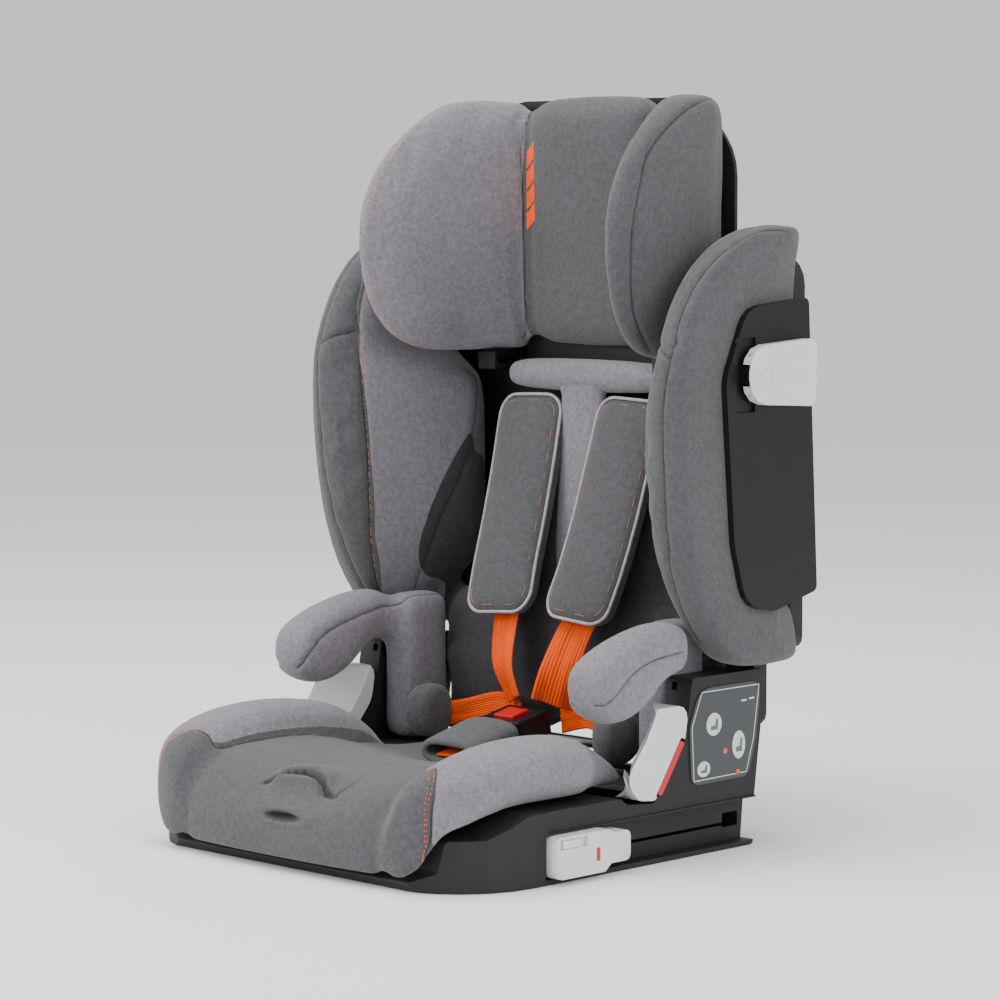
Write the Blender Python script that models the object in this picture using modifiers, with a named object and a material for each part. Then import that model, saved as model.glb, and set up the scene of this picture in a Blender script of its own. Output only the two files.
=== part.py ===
"""High-back child car seat: base, reclining backrest, adjustable headrest, harness and ISOFIX connectors.

Metres, +Z up. The seat faces -Y and +X is to the right of someone who looks at its front. The origin is on
the underside of the base, in the plane of symmetry x = 0.
"""

import math

import bmesh
import bpy
from mathutils import Matrix, Vector

# Driving dimensions
GAP = 0.0003                  # between pieces that touch
BASE_HALF = 0.2205            # half width of the base at the channel lips
BASE_REAR = 0.178
BASE_FRONT = -0.206
WALL = 0.003                  # moulded plastic thickness
RIDGE = 0.0455                # top of the channel lip
DECK = 0.045                  # floor under the seat cushion
LEDGE = 0.064                 # floor under the thigh bolsters
WELL_HALF = 0.128             # half width of the seat cushion
SIDE_INNER = 0.1905           # inner face of the base's side walls
SIDE_OUTER = 0.2185           # their outer face
SIDE_TOP = 0.163
AXLE_Y, AXLE_Z, AXLE_RADIUS = 0.165, 0.075, 0.005
CHANNEL_WALL = 0.205          # outer face of the wall behind the ISOFIX channel
CHANNEL_LOW, CHANNEL_HIGH = 0.0045, 0.0440
SLOT_LOW, SLOT_HIGH = 0.0185, 0.0215
SLOT_FRONT, SLOT_REAR = -0.0945, 0.1715
CONNECTOR_FRONT, CONNECTOR_STEP, CONNECTOR_NOSE = -0.099, -0.030, -0.005
CONNECTOR_INNER, CONNECTOR_OUTER = 0.2062, 0.2335
BACK_PLANE = 0.2115           # rear of the backrest's soft parts
CARRIER_FRONT, CARRIER_REAR = 0.2122, 0.2162
FRAME_FRONT, FRAME_REAR = 0.2188, 0.2222
COVER_REAR = 0.239
WING_OUTER = 0.2445
BACK_HALF = 0.229             # half width of the backrest's frame and rear cover
SHELL_OUTER = 0.2520
POD_INNER, POD_OUTER = 0.2530, 0.2640
POD_PIN_X, POD_PIN_Y = 0.2583, 0.1265
WEBBING_HALF = 0.019
WEBBING_THICK = 0.0022
SLEEVE_FRONT = -0.0070

CHARCOAL = ((0.045, 0.045, 0.047), 0.62, 0.0)
BLACK = ((0.018, 0.018, 0.019), 0.5, 0.0)
PALE_GREY = ((0.66, 0.67, 0.69), 0.42, 0.0)
RED = ((0.62, 0.03, 0.03), 0.45, 0.0)
STEEL = ((0.55, 0.56, 0.58), 0.35, 1.0)
LIGHT_FABRIC = ((0.27, 0.26, 0.28), 0.95, 0.0)
DARK_FABRIC = ((0.13, 0.135, 0.14), 0.95, 0.0)
ORANGE_WEBBING = ((0.95, 0.25, 0.01), 0.7, 0.0)
LABEL_GREY = ((0.06, 0.07, 0.075), 0.5, 0.0)

for old in list(bpy.data.objects):
    bpy.data.objects.remove(old)

PARTS = bpy.data.collections.new("child_car_seat")
CUTTERS = bpy.data.collections.new("cutters")
CUTTERS.hide_render = True
for new_collection in (PARTS, CUTTERS):
    bpy.context.scene.collection.children.link(new_collection)


# ---------------------------------------------------------------- helpers
def material(name, look):
    """A Principled material from (colour, roughness, metallic)."""
    colour, roughness, metallic = look
    made = bpy.data.materials.new(name)
    made.use_nodes = True
    shader = made.node_tree.nodes["Principled BSDF"]
    shader.inputs["Base Color"].default_value = (*colour, 1.0)
    shader.inputs["Roughness"].default_value = roughness
    shader.inputs["Metallic"].default_value = metallic
    return made


def mesh_object(name, bm, look=None):
    """Turns a bmesh into an object: a part when it has a look, otherwise a cutter."""
    bmesh.ops.recalc_face_normals(bm, faces=bm.faces)
    mesh = bpy.data.meshes.new(name)
    bm.to_mesh(mesh)
    bm.free()
    made = bpy.data.objects.new(name, mesh)
    if look:
        mesh.materials.append(material(name, look))
        PARTS.objects.link(made)
    else:
        CUTTERS.objects.link(made)
        made.hide_render = True
        made.display_type = "WIRE"
    return made


def bevel(made, width, segments=2):
    """Rounds the sharp edges."""
    if width:
        rounding = made.modifiers.new("rounded edges", "BEVEL")
        rounding.width = width
        rounding.segments = segments
        rounding.limit_method = "ANGLE"
        rounding.angle_limit = math.radians(35)
    return made


def box(name, low, high, look=None, edge=0.0, segments=2):
    """A box between two corners, with its own scale applied."""
    low, high = Vector(low), Vector(high)
    bm = bmesh.new()
    bmesh.ops.create_cube(bm, size=1.0)
    bmesh.ops.scale(bm, vec=high - low, verts=bm.verts)
    bmesh.ops.translate(bm, vec=(low + high) / 2, verts=bm.verts)
    return bevel(mesh_object(name, bm, look), edge, segments)


def rod(name, start, end, radius, look=None, sides=16):
    """A closed cylinder between two points."""
    start, end = Vector(start), Vector(end)
    along = end - start
    bm = bmesh.new()
    turn = along.to_track_quat("Z", "Y").to_matrix().to_4x4()
    place = Matrix.Translation((start + end) / 2) @ turn
    bmesh.ops.create_cone(bm, cap_ends=True, segments=sides, radius1=radius, radius2=radius,
                          depth=along.length, matrix=place)
    return mesh_object(name, bm, look)


def rounded(corners, steps=3):
    """A closed outline from (u, v, radius) corners, each turned into an arc."""
    points = []
    for i, (u, v, radius) in enumerate(corners):
        corner = Vector((u, v))
        before = (Vector(corners[i - 1][:2]) - corner).normalized()
        after = (Vector(corners[(i + 1) % len(corners)][:2]) - corner).normalized()
        if not radius:
            points.append(corner)
            continue
        half = before.angle(after) / 2
        centre = corner + (before + after).normalized() * radius / math.sin(half)
        first = corner + before * radius / math.tan(half) - centre
        last = corner + after * radius / math.tan(half) - centre
        sweep = first.angle_signed(last)
        for k in range(steps + 1):
            points.append(centre + Matrix.Rotation(-sweep * k / steps, 2) @ first)
    return points


PLANES = {
    "YZ": Matrix(((0, 0, 1, 0), (1, 0, 0, 0), (0, 1, 0, 0), (0, 0, 0, 1))),
    "XZ": Matrix(((1, 0, 0, 0), (0, 0, -1, 0), (0, 1, 0, 0), (0, 0, 0, 1))),
    "XY": Matrix.Identity(4),
}
NORMALS = {"YZ": Vector((1, 0, 0)), "XZ": Vector((0, 1, 0)), "XY": Vector((0, 0, 1))}


def plate(name, corners, plane, low, high, look=None, edge=0.0, segments=2, steps=3):
    """A flat outline in a plane, from low to high along the plane's normal, as a mesh."""
    curve = bpy.data.curves.new(name, "CURVE")
    curve.dimensions = "2D"
    curve.fill_mode = "BOTH"
    curve.extrude = (high - low) / 2
    points = rounded(corners, steps)
    spline = curve.splines.new("POLY")
    spline.points.add(len(points) - 1)
    spline.use_cyclic_u = True
    for spot, (u, v) in zip(spline.points, points):
        spot.co = (u, v, 0.0, 1.0)
    drawn = bpy.data.objects.new(name + "_outline", curve)
    PARTS.objects.link(drawn)
    drawn.matrix_world = Matrix.Translation(NORMALS[plane] * (low + high) / 2) @ PLANES[plane]
    bpy.context.view_layer.update()
    graph = bpy.context.evaluated_depsgraph_get()
    flat = bpy.data.meshes.new_from_object(drawn.evaluated_get(graph))
    bm = bmesh.new()
    bm.from_mesh(flat)
    bm.transform(drawn.matrix_world)
    bmesh.ops.remove_doubles(bm, verts=bm.verts, dist=0.00002)
    bpy.data.objects.remove(drawn)
    bpy.data.meshes.remove(flat)
    return bevel(mesh_object(name, bm, look), edge, segments)


def loft(name, rings, look=None, level=1, hollow_ends=False):
    """A closed form through rings of equally many points, smoothed by subdivision.

    hollow_ends is for end rings that aren't convex: their caps are cut into triangles first.
    """
    bm = bmesh.new()
    rows = [[bm.verts.new(point) for point in ring] for ring in rings]
    for low, high in zip(rows, rows[1:]):
        for i in range(len(low)):
            j = (i + 1) % len(low)
            bm.faces.new((low[i], low[j], high[j], high[i]))
    caps = [bm.faces.new(rows[0][::-1]), bm.faces.new(rows[-1])]
    if hollow_ends:
        bmesh.ops.triangulate(bm, faces=caps)
    made = mesh_object(name, bm, look)
    if level:
        smooth = made.modifiers.new("soft form", "SUBSURF")
        smooth.levels = level
        smooth.render_levels = level
    return made


def combine(made, others, operation):
    """Cuts the others from an object or joins them to it, and keeps the result as its mesh."""
    for other in others:
        step = made.modifiers.new(other.name, "BOOLEAN")
        step.operation = operation
        step.object = other
        step.solver = "EXACT"
    graph = bpy.context.evaluated_depsgraph_get()
    result = bpy.data.meshes.new_from_object(made.evaluated_get(graph))
    made.modifiers.clear()
    old_mesh = made.data
    made.data = result
    bpy.data.meshes.remove(old_mesh)
    for other in others:
        if operation != "DIFFERENCE" or other.name not in PARTS.objects:
            bpy.data.objects.remove(other)
    return made


def cut(made, others):
    return combine(made, others, "DIFFERENCE")


def join(made, others):
    return combine(made, others, "UNION")


def pivot(made, point):
    """Puts the object's origin on its joint's axis without moving its shape."""
    point = Vector(point)
    made.data.transform(Matrix.Translation(-point))
    made.location = point
    return made


def band(name, path, look, half=WEBBING_HALF, thick=WEBBING_THICK, steps=4):
    """Webbing along hand-placed (centre, width direction) stations, smoothed between them."""
    centres = [Vector(centre) for centre, _ in path]
    widths = [Vector(width).normalized() for _, width in path]
    rings = []
    for i in range(len(path) - 1):
        before = centres[max(i - 1, 0)]
        after = centres[min(i + 2, len(path) - 1)]
        last = i == len(path) - 2
        for k in range(steps + (1 if last else 0)):
            t = k / steps
            middle = smooth_between(before, centres[i], centres[i + 1], after, t)
            ahead = smooth_between(before, centres[i], centres[i + 1], after, t + 0.01)
            across = widths[i].lerp(widths[i + 1], t).normalized()
            normal = (ahead - middle).cross(across).normalized()
            across, normal = across * half, normal * thick / 2
            rings.append([middle + across + normal, middle - across + normal,
                          middle - across - normal, middle + across - normal])
    return loft(name, rings, look, level=0)


def smooth_between(before, start, end, after, t):
    """A Catmull-Rom curve's point between start and end."""
    return 0.5 * (2 * start + (end - before) * t + (2 * before - 5 * start + 4 * end - after) * t * t
                  + (3 * start - before - 3 * end + after) * t ** 3)


def oval(centre, half_u, half_v, u_axis, v_axis, count=10, power=2.6):
    """A rounded-rectangle ring (superellipse) in the plane of two axes."""
    ring = []
    for k in range(count):
        angle = 2 * math.pi * (k + 0.5) / count
        c, s = math.cos(angle), math.sin(angle)
        u = math.copysign(abs(c) ** (2 / power), c) * half_u
        v = math.copysign(abs(s) ** (2 / power), s) * half_v
        ring.append(Vector(centre) + Vector(u_axis) * u + Vector(v_axis) * v)
    return ring


# ---------------------------------------------------------------- base
def base_shell():
    """Tray, side walls and thigh ledges: side outline crossed with the rounded plan, then hollowed."""
    side = [(BASE_REAR, 0, 0.004), (0.182, RIDGE, 0.002), (0.198, SIDE_TOP, 0.006), (0.094, SIDE_TOP, 0.006),
            (0.0885, 0.130, 0.02), (0.082, 0.100, 0.02), (0.042, 0.0545, 0.006), (0.006, 0.0575, 0.004),
            (-0.002, LEDGE, 0.003), (-0.120, LEDGE, 0.03), (-0.162, 0.0460, 0.01), (-0.188, 0.0455, 0.004),
            (-0.192, 0.0180, 0.004), (-0.2040, 0.0070, 0.003),
            (-0.2020, 0, 0.002)]
    plan = [(BASE_HALF, BASE_REAR + 0.03, 0), (BASE_HALF, BASE_FRONT, 0.090),
            (-BASE_HALF, BASE_FRONT, 0.090), (-BASE_HALF, BASE_REAR + 0.03, 0)]
    shell = plate("base_shell", side, "YZ", -0.24, 0.24, CHARCOAL, steps=4)
    combine(shell, [plate("base_plan", plan, "XY", -0.01, 0.2, steps=6)], "INTERSECT")
    cutters = [
        box("seat_well", (-WELL_HALF - 0.001, -0.19, DECK), (WELL_HALF + 0.001, BASE_REAR - WALL, 0.3)),
        box("knuckle_space", (-WELL_HALF - 0.001, 0.140, 0.0570), (WELL_HALF + 0.001, 0.3, 0.3)),
        box("leg_space", (-SIDE_INNER, -0.3, LEDGE + 0.0002), (SIDE_INNER, 0.3, 0.3)),
        box("cavity", (-CHANNEL_WALL + WALL, -0.165, -0.01), (CHANNEL_WALL - WALL, BASE_REAR - WALL, 0.041)),
        rod("axle_bore", (-0.204, AXLE_Y, AXLE_Z), (0.204, AXLE_Y, AXLE_Z), AXLE_RADIUS + GAP),
    ]
    for side_sign in (-1, 1):
        def both(near, far):
            return sorted((side_sign * near, side_sign * far))
        x = both(SIDE_OUTER, 0.24)
        cutters.append(box("wall_step", (x[0], -0.098, RIDGE), (x[1], 0.25, 0.2)))
        x = both(CHANNEL_WALL, 0.24)
        cutters.append(box("channel", (x[0], CONNECTOR_FRONT - 0.002, CHANNEL_LOW),
                           (x[1], 0.25, CHANNEL_HIGH)))
        x = both(CHANNEL_WALL - 0.01, CHANNEL_WALL + 0.01)
        cutters.append(box("slot", (x[0], SLOT_FRONT, SLOT_LOW), (x[1], SLOT_REAR, SLOT_HIGH)))
        cutters.append(box("keyhole", (x[0], 0.152, 0.0165), (x[1], 0.1735, 0.0300)))
        x = both(SIDE_INNER + 0.004, 0.2010)
        cutters.append(box("wall_pocket", (x[0], 0.092, 0.03), (x[1], 0.158, SIDE_TOP - 0.005)))
        x = both(WELL_HALF + 0.004, 0.2010)
        cutters.append(box("ledge_pocket", (x[0], -0.112, 0.03), (x[1], BASE_REAR - WALL, LEDGE - 0.004)))
    return cut(shell, cutters)


def underside_plate():
    half, rear, front = CHANNEL_WALL - WALL - GAP, BASE_REAR - WALL - GAP, -0.165 + GAP
    corners = [(half, rear, 0), (half, front, 0), (-half, front, 0), (-half, rear, 0)]
    return plate("underside_plate", corners, "XY", 0.0, WALL, BLACK)


GUIDE_SLANT = 1.15            # how far its front face runs back for each metre inwards
GUIDE = [(0.043, 0.1405, 0.004), (0.0265, 0.112, 0.03), (0.000, 0.0795, 0.014), (0.018, 0.0600, 0.014),
         (0.040, 0.0575, 0.008), (0.0795, 0.104, 0.03), (0.0855, 0.1405, 0.012)]
MARKER = [(0.0425, 0.0640, 0.002), (0.0480, 0.0610, 0.002), (0.0795, 0.1060, 0.002), (0.0735, 0.1090, 0.002)]


def belt_guide(side, sign):
    """Pale inlay that carries the lap belt around the front of the side wall, with its red marker."""
    low, high = sorted((sign * 0.1895, sign * 0.2222))
    guide = plate(f"belt_guide_{side}", GUIDE, "YZ", low, high, PALE_GREY, edge=0.0030)
    low, high = sorted((sign * 0.2150, sign * 0.2300))
    middle = Vector((sum(c[0] for c in MARKER) / 4, sum(c[1] for c in MARKER) / 4))
    pocket = [(u + (u - middle.x) * 0.12, v + (v - middle.y) * 0.12, r) for u, v, r in MARKER]
    slant = plate("guide_slant", GUIDE[:4] + [(-0.15, 0.060, 0), (-0.15, 0.1405, 0)], "YZ", -0.0600, 0.0)
    for vertex in slant.data.vertices:
        vertex.co.y -= GUIDE_SLANT * vertex.co.x
        vertex.co.x = sign * (0.2224 + vertex.co.x)
    if sign < 0:
        slant.data.flip_normals()
    cut(guide, [slant, plate("marker_pocket", pocket, "YZ", low, high)])
    low, high = sorted((sign * 0.2155, sign * 0.2226))
    plate(f"guide_marker_{side}", MARKER, "YZ", low, high, RED)


def label_plate(side, sign):
    corners = [(0.103, 0.1525, 0.02), (0.089, 0.118, 0.03), (0.092, 0.064, 0.010), (0.172, 0.0650, 0.010),
               (0.183, 0.100, 0.05), (0.190, 0.1525, 0.012)]
    low, high = sorted((sign * (SIDE_OUTER + GAP), sign * (SIDE_OUTER + 0.0012)))
    plate(f"label_plate_{side}", corners, "YZ", low, high, LABEL_GREY)


# ---------------------------------------------------------------- ISOFIX
def isofix(side, sign):
    """Connector that slides rearwards along the side channel, with hook, indicator and release button."""
    def span(near, far):
        return sorted((sign * near, sign * far))

    x = span(CONNECTOR_INNER, CONNECTOR_OUTER)
    outline = [(CONNECTOR_FRONT, 0.0055, 0.006), (-0.038, 0.0055, 0), (CONNECTOR_STEP, 0.0120, 0),
               (CONNECTOR_NOSE, 0.0120, 0.006), (CONNECTOR_NOSE, 0.0395, 0.006), (-0.026, 0.0395, 0),
               (-0.034, 0.0430, 0), (CONNECTOR_FRONT, 0.0430, 0.008)]
    housing = plate(f"isofix_connector_{side}", outline, "YZ", *x, PALE_GREY, edge=0.0010, segments=1)
    mouth = span(0.2000, 0.2285)
    hook_slot = span(0.2150, 0.2205)
    button_pocket = span(CONNECTOR_OUTER - 0.0035, 0.2400)
    window = span(CONNECTOR_OUTER - 0.0015, 0.2400)
    cut(housing, [
        box("mouth", (mouth[0], -0.020, 0.0175), (mouth[1], 0.01, 0.0265)),
        box("hook_slot", (hook_slot[0], -0.045, 0.0140), (hook_slot[1], -0.0080, 0.0375)),
        box("button_pocket", (button_pocket[0], -0.0940, 0.0320), (button_pocket[1], -0.0620, 0.0405)),
        box("window", (window[0], -0.0500, 0.0165), (window[1], -0.0450, 0.0285)),
    ])
    rim = sorted((sign * CONNECTOR_OUTER, sign * 0.19), reverse=sign > 0)
    nose_plan = [(rim[0], 0.02, 0), (rim[0], CONNECTOR_FRONT, 0.011), (rim[1], CONNECTOR_FRONT, 0),
                 (rim[1], 0.02, 0)]
    combine(housing, [plate("connector_plan", nose_plan, "XY", -0.01, 0.06, steps=5)], "INTERSECT")
    neck = span(0.1995, 0.2100)
    head = span(0.1985, 0.2013)
    join(housing, [
        box("foot", (neck[0], -0.0920, SLOT_LOW + GAP), (neck[1], -0.0800, SLOT_HIGH - GAP)),
        box("foot_head", (head[0], -0.0925, 0.0140), (head[1], -0.0795, 0.0260)),
    ])

    hook = [(-0.0410, 0.0290, 0.003), (-0.0120, 0.0290, 0.001), (-0.0100, 0.0185, 0.001),
            (-0.0130, 0.0185, 0.001), (-0.0170, 0.0245, 0.001), (-0.0410, 0.0225, 0.003)]
    x = span(0.2158, 0.2197)
    pivot(plate(f"isofix_hook_{side}", hook, "YZ", *x, STEEL, steps=2), (sign * 0.2178, -0.0380, 0.0255))
    x = span(CONNECTOR_OUTER - 0.0012, CONNECTOR_OUTER - 0.0001)
    box(f"isofix_indicator_{side}", (x[0], -0.0497, 0.0168), (x[1], -0.0453, 0.0282), RED)
    x = span(CONNECTOR_OUTER - 0.0031, CONNECTOR_OUTER + 0.0010)
    box(f"isofix_button_{side}", (x[0], -0.0930, 0.0325), (x[1], -0.0690, 0.0400), PALE_GREY, edge=0.001)


# ---------------------------------------------------------------- soft parts of the base
def seat_cushion():
    """Centre of the seat with its rounded front, lofted across, and the adjuster's well and strap slot."""
    rings = []
    for x, crown, nose in ((-1.0, 0.086, -0.216), (-0.96, 0.088, -0.220), (-0.5, 0.081, -0.2235),
                           (0.0, 0.079, -0.2245), (0.5, 0.081, -0.2235), (0.96, 0.088, -0.220),
                           (1.0, 0.086, -0.216)):
        outline = ((-0.150, 0.0490), (-0.183, 0.0530), (-0.2000, 0.0480), (-0.1975, 0.0330),
                   (-0.2090, 0.0085),
                   (nose + 0.004, 0.0075),
                   (nose, 0.045), (nose + 0.022, crown - 0.010), (-0.150, crown + 0.003),
                   (-0.060, crown + 0.003),
                   (-0.015, crown - 0.0125), (0.040, crown - 0.018), (0.128, crown - 0.018), (0.133, 0.0475),
                   (0.100, 0.0475))
        rings.append([(x * (WELL_HALF - 0.0005), y, z) for y, z in outline])
    cushion = loft("seat_cushion", rings, DARK_FABRIC, hollow_ends=True)
    return cut(cushion, [
        box("adjuster_well", (-0.0225, -0.186, 0.0), (0.0225, -0.1375, 0.2)),
        box("strap_slot", (-0.0180, -0.30, 0.0465), (0.0180, -0.170, 0.0525)),
    ])


def thigh_bolster(side, sign):
    """Raised side of the seat: rings across it from the front corner to the belt path."""
    stations = ((-0.218, 0.129, 0.150, 0.0085, 0.058), (-0.212, 0.129, 0.170, 0.0085, 0.076),
                (-0.205, 0.129, 0.1825, 0.0095, 0.088), (-0.1965, 0.129, 0.1915, 0.0480, 0.096),
                (-0.175, 0.129, 0.2075, 0.0500, 0.107), (-0.130, 0.129, 0.2165, 0.0675, 0.120),
                (-0.070, 0.129, 0.2165, 0.0660, 0.1240), (-0.026, 0.129, 0.2165, 0.0660, 0.1190),
                (-0.006, 0.129, 0.1890, 0.0660, 0.1130), (0.030, 0.129, 0.1880, 0.0660, 0.0960),
                (0.047, 0.132, 0.1860, 0.0660, 0.0780))
    rings = []
    for y, inner, outer, low, high in stations:
        shoulder = high - 0.3 * (high - low)
        outline = ((inner, low), (outer, low), (outer, shoulder), (outer - 0.012, high - 0.002),
                   ((inner + outer) / 2, high), (inner + 0.012, high - 0.006), (inner, shoulder - 0.006))
        rings.append([(sign * x, y, z) for x, z in outline])
    loft(f"thigh_bolster_{side}", rings, LIGHT_FABRIC)


def armrest_pad(side, sign):
    """Padded armrest with its blunt front end, over the belt path."""
    stations = ((-0.030, 0.018, 0.146, 0.174), (-0.023, 0.026, 0.136, 0.187), (-0.002, 0.0285, 0.126, 0.199),
                (0.020, 0.029, 0.128, 0.207), (0.045, 0.029, 0.1425, 0.2125), (0.064, 0.029, 0.1645, 0.2145),
                (0.086, 0.028, 0.1660, 0.2155), (0.0905, 0.024, 0.170, 0.2120))
    rings = [oval((sign * 0.195, y, (low + high) / 2), half, (high - low) / 2, (1, 0, 0), (0, 0, 1), 10, 3.2)
             for y, half, low, high in stations]
    loft(f"armrest_pad_{side}", rings, LIGHT_FABRIC)


def side_panel_pad(side, sign):
    """Inner side of the seat behind the belt path, up to the armrest's height."""
    low, high = sorted((sign * 0.1480, sign * (SIDE_INNER - 0.0008)))
    box(f"side_panel_pad_{side}", (low, 0.0925, 0.0670), (high, 0.149, 0.2100), LIGHT_FABRIC, edge=0.012)


def crotch_parts():
    """Crotch strap and its padded sleeve, open at both ends."""
    across = (1, 0, 0)
    band("crotch_strap", [((0, 0.0000, 0.0775), across), ((0, 0.0200, 0.0835), across),
                          ((0, 0.0420, 0.0895), across), ((0, 0.0630, 0.0930), across)], ORANGE_WEBBING,
                          steps=2)
    def tube(half_x, half_z, start, end):
        rings = []
        for t in (0.0, 0.08, 0.5, 0.92, 1.0):
            y = start + (end - start) * t
            middle = 0.0800 + 0.250 * (y - SLEEVE_FRONT)
            rings.append(oval((0, y, middle), half_x, half_z, (1, 0, 0), (0, 0, 1), 12, 2.8))
        return rings
    sleeve = loft("crotch_pad", tube(0.0385, 0.0135, SLEEVE_FRONT, 0.060), DARK_FABRIC)
    cut(sleeve, [loft("sleeve_bore", tube(0.0290, 0.0075, SLEEVE_FRONT - 0.02, 0.080))])


def buckle_parts():
    """Buckle behind the crotch pad, its red press button and the two strap tongues."""
    tilt = Matrix.Translation((0, 0.0870, 0.0985)) @ Matrix.Rotation(math.radians(12), 4, "X")
    housing = box("harness_buckle", (-0.027, -0.0220, -0.0130), (0.027, 0.0220, 0.0110), BLACK)
    cut(housing, [
        box("button_well", (-0.0135, -0.0140, 0.0040), (0.0135, 0.0100, 0.0300)),
        box("tongue_slot", (-0.0230, 0.0060, -0.0085), (0.0230, 0.0400, -0.0035)),
    ])
    housing.data.transform(tilt)
    bevel(housing, 0.0025)
    button = box("buckle_button", (-0.0130, -0.0135, 0.0075), (0.0130, 0.0095, 0.0140), RED, edge=0.0012)
    button.data.transform(tilt)
    for side, sign in (("left", -1), ("right", 1)):
        low, high = sorted((sign * 0.0015, sign * 0.0215))
        tongue = box(f"harness_tongue_{side}", (low, 0.0070, -0.0080), (high, 0.0400, -0.0040), BLACK)
        tongue.data.transform(tilt)


def adjuster():
    box("adjuster_body", (-0.0215, -0.1850, DECK + GAP), (0.0215, -0.1385, 0.0560), BLACK, edge=0.001)
    box("adjuster_button", (-0.0150, -0.1780, 0.0610), (0.0150, -0.1480, 0.0700), PALE_GREY, edge=0.0015)


# ---------------------------------------------------------------- backrest
def back_outline(inset):
    """Shield outline of the backrest's frame and cover in the XZ plane."""
    half, low_half = BACK_HALF - inset, 0.186 - inset
    corners = [(half, 0.180 + inset, 0.01), (half, 0.535 - inset, 0.03), (0.190, 0.560 - inset, 0.03)]
    lower = [(low_half, 0.172 + inset, 0), (low_half, 0.100 + inset, 0.012)]
    right = lower[::-1] + corners
    return right + [(-x, z, radius) for x, z, radius in right[::-1]]


def backrest_frame():
    """Flat frame of the backrest with two knuckles around the base's axle."""
    frame = plate("backrest_frame", back_outline(0.0), "XZ", FRAME_FRONT, FRAME_REAR, BLACK)
    knuckles = []
    for low, high in ((-0.122, -0.096), (0.096, 0.122)):
        arm = [(AXLE_Y - 0.011, AXLE_Z - 0.0095, 0.009), (AXLE_Y + 0.013, AXLE_Z - 0.0095, 0.006),
               (FRAME_REAR - 0.0005, 0.104, 0.004), (FRAME_REAR - 0.0005, 0.128, 0),
               (FRAME_FRONT + 0.0005, 0.128, 0), (FRAME_FRONT - 0.006, 0.1115, 0.01),
               (AXLE_Y - 0.003, AXLE_Z + 0.0110, 0.009)]
        knuckles.append(plate("knuckle", arm, "YZ", low, high))
    join(frame, knuckles)
    return cut(frame, [rod("knuckle_bore", (-0.15, AXLE_Y, AXLE_Z), (0.15, AXLE_Y, AXLE_Z),
                           AXLE_RADIUS + GAP)])


def rear_cover():
    """Moulded rear shell, open towards the frame."""
    cover = plate("rear_cover", back_outline(0.0005), "XZ", FRAME_REAR + GAP, COVER_REAR, CHARCOAL,
                  edge=0.003)
    hollow = plate("cover_hollow", back_outline(0.008), "XZ", FRAME_REAR - 0.01, COVER_REAR - WALL)
    return cut(cover, [hollow])


def back_cushion():
    """Centre of the backrest, leaning back towards the top."""
    stations = ((0.108, 0.150, 0.184), (0.125, 0.145, 0.186), (0.195, 0.157, 0.186), (0.207, 0.160, 0.183),
                (0.222, 0.163, 0.1260), (0.300, 0.178, 0.1255), (0.350, 0.188, 0.1255),
                (0.374, 0.196, 0.1240))
    rings = []
    for z, front, half in stations:
        rings.append([(-half, BACK_PLANE, z), (-half, front + 0.014, z), (-half * 0.8, front + 0.003, z),
                      (0, front, z), (half * 0.8, front + 0.003, z), (half, front + 0.014, z),
                      (half, BACK_PLANE, z), (0, BACK_PLANE, z)])
    loft("back_cushion", rings, DARK_FABRIC)


def torso_wing(side, sign):
    """Side bolster of the backrest: a wedge in plan, with a rounded ear shape from the side."""
    stations = ((0.1680, 0.150, 0.2150, 0.200, 0.205), (0.1760, 0.122, 0.2170, 0.192, 0.198),
                (0.2120, 0.092, 0.2170, 0.191, 0.1945), (0.2300, 0.080, 0.2170, 0.160, 0.193),
                (0.2480, 0.070, 0.2170, 0.130, 0.192), (0.2900, 0.054, 0.2170, 0.128, 0.190),
                (0.3500, 0.044, 0.2170, 0.128, 0.190), (0.4000, 0.041, 0.2170, 0.128, 0.192),
                (0.4240, 0.042, 0.2170, 0.130, 0.193), (0.4430, 0.044, 0.2170, 0.180, 0.194),
                (0.4560, 0.046, 0.2170, 0.188, 0.195), (0.5000, 0.062, 0.2170, 0.187, 0.196),
                (0.5400, 0.092, 0.2170, 0.187, 0.198), (0.5650, 0.134, 0.2160, 0.188, 0.200),
                (0.5760, 0.176, 0.2140, 0.192, 0.204))
    rings = []
    for z, front, rear, inner_rear, inner_front in stations:
        depth = rear - front
        outline = ((WING_OUTER, rear), (WING_OUTER, front + 0.5 * depth), (WING_OUTER, front + 0.10 * depth),
                   (WING_OUTER - 0.004, front - 0.004), (inner_front + 0.014, front - 0.004),
                   (inner_front, front + 0.12 * depth),
                   (0.5 * (inner_front + inner_rear), front + 0.62 * depth),
                   (inner_rear, rear - 0.0055))
        rings.append([(sign * x, y, z) for x, y in outline])
    loft(f"torso_wing_{side}", rings, DARK_FABRIC)


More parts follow.
